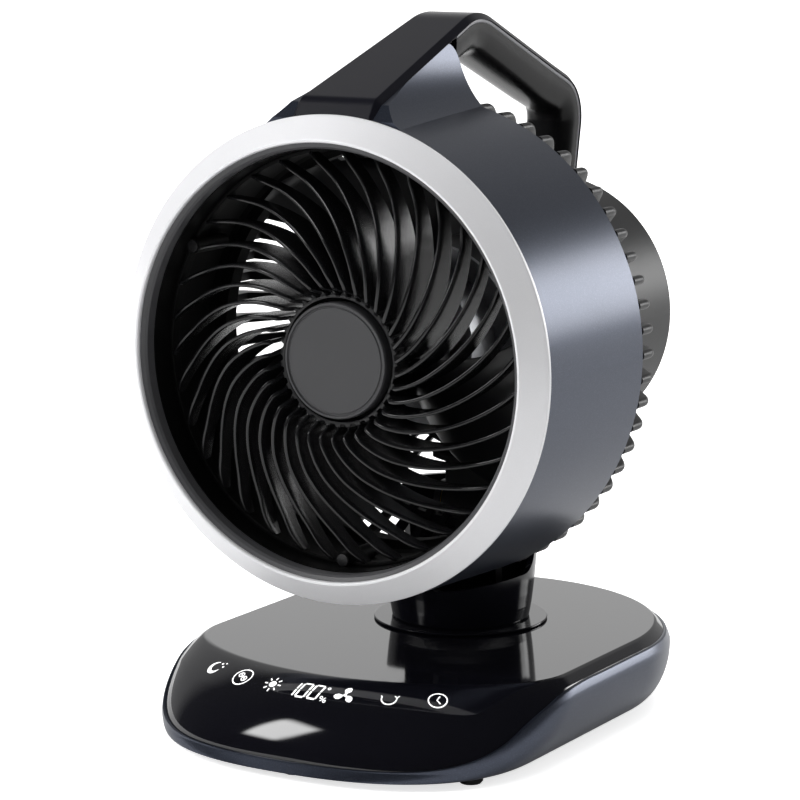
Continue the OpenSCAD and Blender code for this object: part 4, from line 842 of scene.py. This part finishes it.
def make_vanes():
    """Spiral vanes: at each radius a thin section with a rounded front edge stands across the
    spiral's tangent, and the set is turned round the hub."""
    count, back = bpy.context.scene.fan_sizes.vane_count, rear_of("front_grille")
    rim, hub = duct_r(), mm("hub_ring_r")
    near = np.linspace(hub - 1.2, hub + 5, 12)[:-1]
    r = np.concatenate([near, np.linspace(hub + 5, rim - 0.1, 42)])
    a = vane_angle(r)
    x, y = r * np.cos(a), r * np.sin(a)
    tangent = np.stack([np.gradient(x, r), np.gradient(y, r)], -1)
    tangent /= np.linalg.norm(tangent, axis=1, keepdims=True)
    across = np.stack([-tangent[:, 1], tangent[:, 0]], -1)
    half, bend = mm("vane_t") / 2, np.radians(np.linspace(0, 180, 9))
    side = np.concatenate([[half], half * np.cos(bend), [-half, -half * 0.6, half * 0.6]])
    depth = np.concatenate([[-3.0], 0.5 * np.sin(bend) - 0.5, [-3.0]])
    front = vane_front(r)
    ahead = np.concatenate([front[:, None] + depth, np.full((len(r), 2), back)], 1)
    px = x[:, None] + across[:, :1] * side
    py = y[:, None] + across[:, 1:] * side
    k = np.arange(count)[:, None, None] * 2 * np.pi / count
    grid = on_fan(*spun(px, py, k), ahead)
    rim_ring = rounded([(rim - 1.6, back), (rim - 0.02, back), (rim - 0.02, back + 5),
                        (rim - 1.6, back + 5)], 0.4)
    plate = rounded([(0.3, back), (hub - 1, back), (hub - 1, back + 2.4), (0.3, back + 2.4)],
                    [0, 0.3, 0.3, 0], closed=False)
    Lofts().add(grid).finish("spiral_grille", "head", "satin_black", FINISHES["vane"],
                             replaces=["front_grille"], sharp=40)
    screw = front_of("grille_screws")
    post = rounded([(1.6, back), (3.0, back), (3.0, screw - 0.4), (2.55, screw - 0.4),
                    (2.55, screw - 2.2), (1.6, screw - 2.2)], 0.15)
    t = np.linspace(0, 2 * np.pi, 32, endpoint=False)
    px, py = post[:, :1] * np.cos(t) + rim - 2.6, post[:, :1] * np.sin(t)
    posts = on_fan(*spun(px, py, np.radians(POST_ANGLES)[:, None, None]), post[:, 1:])
    # The rim ring, the plate behind the hub and the posts carry the duct's painted shade: darkened
    # satin black
    return Lofts().add(turned_on_fan(rim_ring), torus=True).add(turned_on_fan(plate, 96)).add(
        posts, torus=True).finish("grille_rim", "head", "satin_black", FINISHES["duct"], sharp=40)


def make_hub_ring():
    """Hub ring with a serrated rim: its outer radius steps in and out with the vanes."""
    count, hub = bpy.context.scene.fan_sizes.vane_count, mm("hub_ring_r")
    top, back = edge_ahead() - 6.4, rear_of("front_grille")
    a = np.linspace(0, 2 * np.pi, count * 12, endpoint=False)
    tooth = np.clip(0.5 + 2.2 * np.cos(a * count - math.radians(2) * count), 0, 1)
    outer = hub - 1.0 + 1.0 * tooth
    inner = mm("medallion_r") + 1.4
    rows = [(0, 0, back), (1, 0, back), (1, 0, top - 0.5), (1, -0.15, top - 0.15), (1, -0.5, top),
            (0, 0.4, top), (0, 0.1, top - 0.15), (0, 0, top - 0.5)]
    r = np.stack([np.where(w, outer + d, inner + d) for w, d, _ in rows])
    ahead = np.array([z for _, _, z in rows])[:, None]
    return Lofts().add(on_fan(r * np.cos(a), r * np.sin(a), ahead), torus=True).finish(
        "hub_ring", "head", "satin_black", FINISHES["hub"], sharp=40)


def make_medallion():
    """Plain medallion: a flat face, a fine groove and a raised edge."""
    r, back = mm("medallion_r"), rear_of("medallion")
    top = front_of("medallion")
    profile = rounded([(0.2, top - 0.3), (r - 2.3, top - 0.3), (r - 2.0, top - 0.7),
                       (r - 1.5, top - 0.7), (r - 1.2, top), (r - 0.4, top), (r, top - 0.8),
                       (r, top - 6), (r - 4, top - 6), (r - 4, back), (0.2, back)],
                      [0, 0.2, 0.1, 0.1, 0.2, 0.3, 0.3, 0.3, 0.3, 0.3, 0], closed=False)
    return Lofts().add(turned_on_fan(profile, 160)).finish(
        "medallion_disc", "head", "grey_trim", FINISHES["medallion"], replaces=["medallion"])


# ---- Rear cage ----

RIB_COUNT = 62
RING_OUTER_R = 95.0
# Half angle of the window at the bottom, and its crossbar's distance outside the motor's housing
WINDOW_HALF = 22
BAR_OUT = 22.6


def make_cage():
    """Rear cage: ribs that follow a slope of 45 degrees, a round corner and a straight stretch to
    the drum. A rib's section is a half circle on the outside and flat on the inside, and grows from
    the housing to the drum. The ring in the drum, the crossbar, and the plate with the motor's cup
    are turned, and a block below the cup holds the wires."""
    drum_rear = rear_of("drum_shell")
    outer_r, housing = 1000 * high("rear_grille", 0), 1000 * high("motor_housing", 0)
    plate_rear = front_of("motor_housing")
    corner, straight, steep = 9.0, 6.2, math.pi / 4
    bend = np.linspace(steep, 0, 9)
    mid_r, mid_a = outer_r - corner, drum_rear - straight

    def rib_set(angles, start):
        slope = np.linspace(0, 1, 7)[:-1, None]
        end = np.array([mid_r + corner * math.cos(steep), mid_a - corner * math.sin(steep)])
        path = np.concatenate([
            (1 - slope) * np.array([start, end[1] - (end[0] - start)]) + slope * end,
            np.stack([mid_r + corner * np.cos(bend), mid_a - corner * np.sin(bend)], 1),
            [[outer_r, drum_rear - 2], [outer_r, drum_rear]]])
        turn = np.concatenate([np.full(6, steep), bend, [0, 0]])
        inward = np.stack([-np.cos(turn), np.sin(turn)], 1)
        half = np.interp(path[:, 0], [housing, outer_r], [0.9, 1.9])[:, None]
        deep = np.interp(path[:, 0], [housing, mid_r, outer_r], [2.4, 4.6, 7.0])[:, None]
        a = np.linspace(0, np.pi, 11)
        side = np.concatenate([half * np.cos(a), -half, half], 1)
        depth = np.concatenate([half * (1 - np.sin(a)), deep, deep], 1)
        r = path[:, :1] + depth * inward[:, :1]
        ahead = path[:, 1:] + depth * inward[:, 1:]
        spin = np.radians(angles)[:, None, None]
        return on_fan(*spun(r, side, spin), np.minimum(ahead, drum_rear))

    angles = np.arange(RIB_COUNT) * 360 / RIB_COUNT
    from_bottom = (angles - 270 + 180) % 360 - 180
    window = np.abs(from_bottom) < WINDOW_HALF
    bar = housing + BAR_OUT
    lofts = Lofts().add(rib_set(angles[~window], housing - 1.0))
    lofts.add(rib_set(angles[window], bar + 1))
    left = -from_bottom[from_bottom <= -WINDOW_HALF].max()
    right = from_bottom[from_bottom >= WINDOW_HALF].min()
    over = mid_a - corner * math.sin(steep) - (mid_r + corner * math.cos(steep) - bar)
    section = rounded([(bar, over + 0.3), (bar + 3.4, over + 3.7), (bar + 3.4, over + 8),
                       (bar, over + 4.6)], 0.5)
    a = np.radians(np.linspace(270 - left, 270 + right, 30))[:, None]
    lofts.add(on_fan(section[:, 0] * np.cos(a), section[:, 0] * np.sin(a),
                     np.broadcast_to(section[:, 1], (30, len(section)))))
    ring = rounded([(RING_OUTER_R - 4, drum_rear), (RING_OUTER_R, drum_rear),
                    (RING_OUTER_R, drum_rear + 4), (RING_OUTER_R - 4, drum_rear + 4)], 0.4)
    cup = rounded([(29, drum_rear - 9.5), (34, drum_rear - 9.5), (34, plate_rear),
                   (housing, plate_rear), (housing, plate_rear + 4), (38, plate_rear + 4),
                   (38, drum_rear - 5.5), (29, drum_rear - 5.5)], 0.5)
    lofts.add(turned_on_fan(ring), torus=True).add(turned_on_fan(cup, 160), torus=True)
    wire_duct = NECK_Y + 14
    x, y = np.array([-7, 7, 7, -7]), wire_duct + np.array([-6, -6, 6, 6])
    z = np.array([AXIS_Z - housing + 0.4, AXIS_Z - 36])[:, None]
    lofts.add(np.stack(np.broadcast_arrays(x, y, z), -1))
    return lofts.finish("rear_cage", "head", "satin_black", FINISHES["rib"],
                        replaces=["rear_grille"], sharp=45)


# ---- Handle ----

# Height of the handle's crest over the bezel, and radius of the motor's housing at its rear leg
CREST_OVER = 35
HOUSING_R = 56.4
# Plane ahead of the neck's axis at which the trim and the grip start
TRIM_START = 29.6


def handle_path():
    """Outer face of the handle in side view, as rows of (distance ahead, height above the axis),
    even along its length."""
    bezel, r = edge_ahead(), mm("bezel_r")
    crest, housing = r + CREST_OVER, HOUSING_R
    line = rounded([(bezel - 0.3, r - 4.0), (bezel - 7, r + 5.8), (8, crest + 2),
                    (-88.8, crest - 36), (-79.3, housing - 10)], [0, 4.5, 36, 20, 0], steps=24,
                   closed=False)
    run = np.concatenate([[0], np.cumsum(np.linalg.norm(np.diff(line, axis=0), axis=1))])
    even = np.linspace(0, run[-1], 220)
    return np.stack([np.interp(even, run, line[:, 0]), np.interp(even, run, line[:, 1])], -1)


def handle_half_width(ahead):
    """Half width of the strip's flat top at a distance ahead of the neck's axis."""
    wide, leg = mm("handle_half_w"), mm("leg_half_w")
    return np.interp(ahead, [-60, 10, edge_ahead()], [leg, leg + 1.5, wide])


def handle_loft(section, start=None):
    """A section carried along the handle's path. The section's rows are (side, extra, depth): a
    point lies side x half width + extra to the side and depth below the outer face. A start is the
    distance ahead of the plane that cuts the first row."""
    path = handle_path()
    if start is not None:
        first = np.argmax(path[:, 0] < start)
        path = path[first:]
    tangent = np.gradient(path, axis=0)
    tangent /= np.linalg.norm(tangent, axis=1, keepdims=True)
    inward = np.stack([-tangent[:, 1], tangent[:, 0]], -1)
    if callable(section):
        section = section(path)
    else:
        section = np.broadcast_to(section, (len(path),) + section.shape)
    w = handle_half_width(path[:, 0])[:, None]
    x = section[..., 0] * w + section[..., 1]
    ahead = path[:, :1] + section[..., 2] * inward[:, :1]
    up = path[:, 1:] + section[..., 2] * inward[:, 1:]
    if start is not None:
        push = (start - ahead[0]) / tangent[0, 0]
        ahead[0] += push * tangent[0, 0]
        up[0] += push * tangent[0, 1]
    return on_fan(x, up, ahead)


def handle_band(corners, radii):
    """A rounded section for handle_loft, the same all along the path. Its corners are written for
    a half width of 10."""
    line = rounded(corners, radii, steps=4)
    side = np.sign(line[:, 0])
    return np.stack([side, line[:, 0] - 10 * side, line[:, 1]], -1)


def make_handle():
    """Handle: a bevelled top strip, a grey trim below it and a rounded hand grip."""
    strip, trim, flare = mm("strip_t"), 0.6 * mm("trim_t"), 1.9
    wide, power = 12.4, 2 / 2.9
    band = handle_band([(10, 0), (wide, strip), (wide, strip + 0.05), (-wide, strip + 0.05),
                        (-wide, strip), (-10, 0)], [0.7, 0.3, 0, 0, 0.3, 0.7])
    Lofts().add(handle_loft(band)).finish("handle_top", "head", "satin_black", FINISHES["strip"],
                                          replaces=["handle_strip"], sharp=50)
    wide = 10 + flare
    band = handle_band([(wide, strip), (wide, strip + trim), (-wide, strip + trim), (-wide, strip)],
                       [0.5, 0.7, 0.7, 0.5])
    Lofts().add(handle_loft(band, start=TRIM_START)).finish(
        "handle_stripe", "head", "grey_trim", FINISHES["trim"], replaces=["handle_trim"], sharp=50)

    def grip_section(path):
        depth = np.interp(path[:, 1], [70, 105], [8.6, 11.5])[:, None] + 0.4 * mm("trim_t")
        a = np.linspace(0, np.pi, 40)
        c = np.sign(np.cos(a)) * np.abs(np.cos(a)) ** power
        d = strip + trim - 0.05 + depth * np.sin(a) ** power
        c = np.broadcast_to(c, d.shape)
        return np.stack([c, (flare - 0.15) * c, d], -1)

    Lofts().add(handle_loft(grip_section, start=TRIM_START)).finish(
        "hand_grip", "head", "satin_black", FINISHES["grip"], replaces=["handle_grip"], sharp=50)


# ---- Impeller ----

BLADE_HUB_R, BLADE_TIP_R = 23.4, 75.6
# Rear of the blades ahead of the neck's axis, and nose and blades behind the bezel's outer edge
BLADE_REAR, NOSE_BACK, BLADE_BACK = 52.8, 18.6, 20
# Angle across a blade, sweep from hub to tip in degrees, and half of the greatest thickness
BLADE_SPAN, BLADE_SWEEP, BLADE_HALF_T = 62, 14, 1.1


def make_impeller():
    """Impeller: twisted blades whose section is thickest in mid chord, on a cupped hub."""
    hub, rear = BLADE_HUB_R, BLADE_REAR
    nose, front = edge_ahead() - NOSE_BACK, edge_ahead() - BLADE_BACK
    v = np.linspace(0, 1, 26)[:, None]
    r = hub - 0.8 + (BLADE_TIP_R - hub + 0.8) * v
    # Chord from the leading edge to the trailing one along the front, and back along the rear
    q = np.linspace(0, 1, 25)
    s = 0.5 - 0.5 * np.cos(np.pi * np.concatenate([q, q[::-1][1:-1]])[None, :])
    side = np.concatenate([np.ones(25), -np.ones(23)])[None, :]
    round_tip = np.sqrt(np.clip(1 - ((v - 0.93) / 0.07).clip(0, 1) ** 2, 0.0, 1)) * 0.35 + 0.65
    angle = np.radians(-BLADE_SPAN * (1 - 0.12 * v) * (s - 0.5) * round_tip + BLADE_SWEEP * v * v)
    rise = (front - rear - 4.4) * (0.92 - 0.22 * v)
    middle = (front + rear) / 2 + rise * (0.5 - s) + 4 * np.sin(np.pi * s) * (1 - 0.4 * v)
    thick = BLADE_HALF_T * np.sqrt(np.maximum(0.0, 4 * s * (1 - s))) + 0.02
    count = bpy.context.scene.fan_sizes.blade_count
    angle = angle + (np.pi / 2 + np.arange(count) * 2 * np.pi / count)[:, None, None]
    grid = on_fan(r * np.cos(angle), r * np.sin(angle), middle + side * thick)
    cup = rounded([(4, nose - 6), (hub - 5, nose - 6), (hub - 1, nose - 8), (hub, nose - 11),
                   (hub, rear - 2), (hub - 2.4, rear - 2), (hub - 2.4, nose - 13), (8, nose - 13),
                   (8, rear), (4, rear)], [0.2, 1.5, 2, 2, 0.5, 0.5, 0.8, 0.8, 0.4, 0.2])
    return Lofts().add(grid).add(turned_on_fan(cup, 160), torus=True).finish(
        "fan_blades", "rotor", "satin_black", FINISHES["blade"], replaces=["impeller"], sharp=45)


# ---- Stage ----

CAMERA_AT = (0.62586, -1.09620, 0.34880)
CAMERA_AXES = ((0.864, 0.5037, 0.0), (-0.086, 0.1476, 0.9854), (0.4963, -0.8512, 0.1708))
LENS, SENSOR, NEAR, FAR = 142.08, 36.0, 0.05, 30.0
AIM = Vector((0.0, 0.0, 0.15))
# Level directions towards the backdrop and across it
TO_BACKDROP = (-0.50, 0.866, 0.0)
ACROSS = (0.866, 0.50, 0.0)
# Softboxes: name, place, width, height, power, feather, and whether reflections show it
LAMPS = (
    ("key", (-1.06, -1.17, 1.21), 0.52, 1.0, 15.5, 0.7, True),
    ("band", (1.5, 2.6, 0.70), 1.5, 1.15, 36, 0.8, True),
    ("wash", (-1.75, -1.15, 1.1), 1.3, 1.3, 24, 0.0, False),
    ("fill", (1.3, -1.8, 0.9), 1.3, 1.3, 3, 0.0, False),
    ("top", (0.2, 0.3, 2.1), 1.3, 1.3, 18, 0.0, False),
)
FLOOR_HALF = 6
# What glossy rays see of the room, of the window over the backdrop's upper edge, and the floor's
# glow under the fan
ROOM_SHARE, WINDOW_SHARE, GLOW_UNDER = 0.06, 0.38, 0.70


def make_camera():
    """Camera of the front view, and a plain view transform."""
    scene = bpy.context.scene
    data = bpy.data.cameras.new("view")
    data.lens, data.sensor_width, data.clip_start, data.clip_end = LENS, SENSOR, NEAR, FAR
    camera = bpy.data.objects.new("view", data)
    axes = Matrix([list(a) for a in CAMERA_AXES]).transposed().to_4x4()
    camera.matrix_world = Matrix.Translation(CAMERA_AT) @ axes
    scene.collection.objects.link(camera)
    scene.camera = camera
    scene.view_settings.view_transform = "Standard"


def soft_lamp(name, place, width, height, power, feather, glossy):
    """A rectangular softbox that faces the fan. Its brightness rises from its edges over a share
    of its width and height: smoothstep(4 u (1-u) / feather) times the same of v."""
    data = bpy.data.lights.new(name, "AREA")
    data.shape, data.size, data.size_y = "RECTANGLE", width, height
    data.energy = power
    if feather:
        data.use_nodes = True
        tree = data.node_tree
        uv = add_node(tree, "NewGeometry").outputs["Parametric"]
        split = add_node(tree, "SeparateXYZ", {0: uv})
        soft = []
        for axis in "XY":
            u = split.outputs[axis]
            hill = maths(tree, "MULTIPLY", maths(tree, "SUBTRACT", 1.0, u), u)
            soft.append(soft_step(tree, hill, 0.0, feather / 4))
        strength = maths(tree, "MULTIPLY", *soft)
        feed(tree, tree.nodes["Emission"].inputs["Strength"], strength)
    lamp = bpy.data.objects.new(name, data)
    lamp.location = place
    lamp.rotation_euler = (AIM - Vector(place)).to_track_quat("-Z", "Y").to_euler()
    lamp.visible_camera, lamp.visible_glossy = False, glossy
    bpy.context.scene.collection.objects.link(lamp)


def make_lamps():
    """All softboxes."""
    for row in LAMPS:
        soft_lamp(*row)


def make_world():
    """A white backdrop behind the fan and a darker studio in front of it: brightness rises with the
    direction's share towards the backdrop. Camera and transmitted rays see plain white. Glossy
    rays see white up to the backdrop's upper edge, a dimmer window over it, and a dark room."""
    world = bpy.data.worlds.new("studio")
    bpy.context.scene.world = world
    world.use_nodes = True
    tree = world.node_tree
    tree.nodes.clear()
    way = add_node(tree, "TexCoord").outputs["Generated"]
    up = add_node(tree, "SeparateXYZ", {0: way}).outputs["Z"]
    back = along(tree, way, TO_BACKDROP)
    aside = maths(tree, "ABSOLUTE", along(tree, way, ACROSS))
    rays = add_node(tree, "LightPath").outputs
    glossy = rays["Is Glossy Ray"]
    backdrop = maths(tree, "MULTIPLY", soft_step(tree, back, 0.2, 0.6),
                     soft_step(tree, aside, 0.30, 0.14), soft_step(tree, up, 0.46, 0.26), glossy)
    window = maths(tree, "MULTIPLY", soft_step(tree, back, 0.45, 0.7),
                   soft_step(tree, up, 0.75, 0.55), WINDOW_SHARE, glossy)
    dark = maths(tree, "MULTIPLY", glossy, 1 - ROOM_SHARE)
    room = maths(tree, "MULTIPLY", soft_step(tree, back, -0.1, 0.75, least=0.30),
                 maths(tree, "SUBTRACT", 1.0, dark))
    value = maths(tree, "MAXIMUM", rays["Is Camera Ray"], rays["Is Transmission Ray"], backdrop,
                  window, room)
    sky = add_node(tree, "Background", {"Color": value})
    add_node(tree, "OutputWorld", {"Surface": sky.outputs[0]})


def floor_finish():
    """Matt white with a glow that camera and transmitted rays see everywhere and glossy rays only
    behind the fan. The glow rises to 1 away from the fan."""
    material = bpy.data.materials.new("floor_white")
    material.use_nodes = True
    tree = material.node_tree
    tree.nodes.clear()
    spot = add_node(tree, "TexCoord").outputs["Object"]
    rays = add_node(tree, "LightPath").outputs
    behind = maths(tree, "MULTIPLY", soft_step(tree, along(tree, spot, TO_BACKDROP), 0.3, 0.9),
                   soft_step(tree, along(tree, spot, ACROSS), 0.45, 0.2), rays["Is Glossy Ray"])
    seen = maths(tree, "MAXIMUM", rays["Is Camera Ray"], rays["Is Transmission Ray"], behind)
    away = add_node(tree, "VectorMath", {0: spot}, operation="LENGTH").outputs["Value"]
    level = soft_step(tree, away, 0.35, 1.4, least=GLOW_UNDER)
    glow = add_node(tree, "Emission", {"Strength": maths(tree, "MULTIPLY", seen, level)})
    matt = add_node(tree, "BsdfDiffuse", {"Color": tint("floor")})
    both = add_node(tree, "AddShader", {0: matt.outputs[0], 1: glow.outputs[0]})
    add_node(tree, "OutputMaterial", {"Surface": both.outputs[0]})
    return material


def make_floor():
    """Floor under the fan."""
    mesh = bpy.data.meshes.new("floor")
    h = FLOOR_HALF
    mesh.from_pydata([(-h, -h, 0), (h, -h, 0), (h, h, 0), (-h, h, 0)], [], [(0, 1, 2, 3)])
    floor = bpy.data.objects.new("floor", mesh)
    bpy.context.scene.collection.objects.link(floor)
    mesh.materials.append(floor_finish())


# ---- Operators ----


def use_finishes():
    """Makes the finishes and gives them to the solids that keep their own shape."""
    FINISHES.update(make_finishes())
    for key, names in KEPT_NODES.items():
        for name in names:
            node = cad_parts[name]
            node.data.materials.clear()
            node.data.materials.append(FINISHES[key])


class FAN_OT_stage(bpy.types.Operator):
    """Camera, floor, backdrop and studio light"""

    bl_idname = "fan.stage"
    bl_label = "Stage"

    def execute(self, context):
        make_camera()
        make_world()
        make_lamps()
        make_floor()
        return {"FINISHED"}


class FAN_OT_finishes(bpy.types.Operator):
    """Finishes, and the solids that keep their own shape"""

    bl_idname = "fan.finishes"
    bl_label = "Finishes"

    def execute(self, context):
        use_finishes()
        return {"FINISHED"}


class FAN_OT_base(bpy.types.Operator):
    """Lower shell and gloss cover of the base"""

    bl_idname = "fan.base"
    bl_label = "Base"

    def execute(self, context):
        make_shell()
        make_cover()
        return {"FINISHED"}


class FAN_OT_signs(bpy.types.Operator):
    """Lit signs of the touch panel"""

    bl_idname = "fan.signs"
    bl_label = "Panel signs"

    def execute(self, context):
        make_signs()
        return {"FINISHED"}


class FAN_OT_turntable(bpy.types.Operator):
    """Turntable's disc under the neck"""

    bl_idname = "fan.turntable"
    bl_label = "Turntable"

    def execute(self, context):
        make_disc()
        return {"FINISHED"}


class FAN_OT_front(bpy.types.Operator):
    """Bezel and the dark ring inside it"""

    bl_idname = "fan.front"
    bl_label = "Bezel"

    def execute(self, context):
        make_bezel()
        make_ring()
        return {"FINISHED"}


class FAN_OT_grille(bpy.types.Operator):
    """Spiral vanes, hub ring and medallion"""

    bl_idname = "fan.grille"
    bl_label = "Front grille"

    def execute(self, context):
        make_vanes()
        make_hub_ring()
        make_medallion()
        return {"FINISHED"}


class FAN_OT_cage(bpy.types.Operator):
    """Rear cage of rounded ribs"""

    bl_idname = "fan.cage"
    bl_label = "Rear cage"

    def execute(self, context):
        make_cage()
        return {"FINISHED"}


class FAN_OT_handle(bpy.types.Operator):
    """Strip, trim and grip of the handle"""

    bl_idname = "fan.handle"
    bl_label = "Handle"

    def execute(self, context):
        make_handle()
        return {"FINISHED"}


class FAN_OT_impeller(bpy.types.Operator):
    """Impeller behind the grille"""

    bl_idname = "fan.impeller"
    bl_label = "Impeller"

    def execute(self, context):
        make_impeller()
        return {"FINISHED"}


OPERATORS = (FAN_OT_stage, FAN_OT_finishes, FAN_OT_base, FAN_OT_signs, FAN_OT_turntable,
             FAN_OT_front, FAN_OT_grille, FAN_OT_cage, FAN_OT_handle, FAN_OT_impeller)


class FAN_PT_panel(bpy.types.Panel):
    """Pieces, sizes and colours of the fan"""

    bl_idname = "FAN_PT_panel"
    bl_label = "Camping Fan"
    bl_space_type = "VIEW_3D"
    bl_region_type = "UI"
    bl_category = "Camping Fan"

    def draw(self, context):
        for operator in OPERATORS:
            self.layout.operator(operator.bl_idname)
        for group in (context.scene.fan_sizes, context.scene.fan_colours):
            for key in group.bl_rna.properties.keys():
                if key not in ("rna_type", "name"):
                    self.layout.prop(group, key)


CLASSES = (FanSizes, FanColours) + OPERATORS + (FAN_PT_panel,)


def register():
    for cls in CLASSES:
        bpy.utils.register_class(cls)
    bpy.types.Scene.fan_sizes = bpy.props.PointerProperty(type=FanSizes)
    bpy.types.Scene.fan_colours = bpy.props.PointerProperty(type=FanColours)


def unregister():
    del bpy.types.Scene.fan_colours
    del bpy.types.Scene.fan_sizes
    for cls in reversed(CLASSES):
        bpy.utils.unregister_class(cls)


def main():
    """Makes every piece in order."""
    register()
    for operator in OPERATORS:
        group, call = operator.bl_idname.split(".")
        getattr(getattr(bpy.ops, group), call)()


if __name__ == "__main__":
    main()
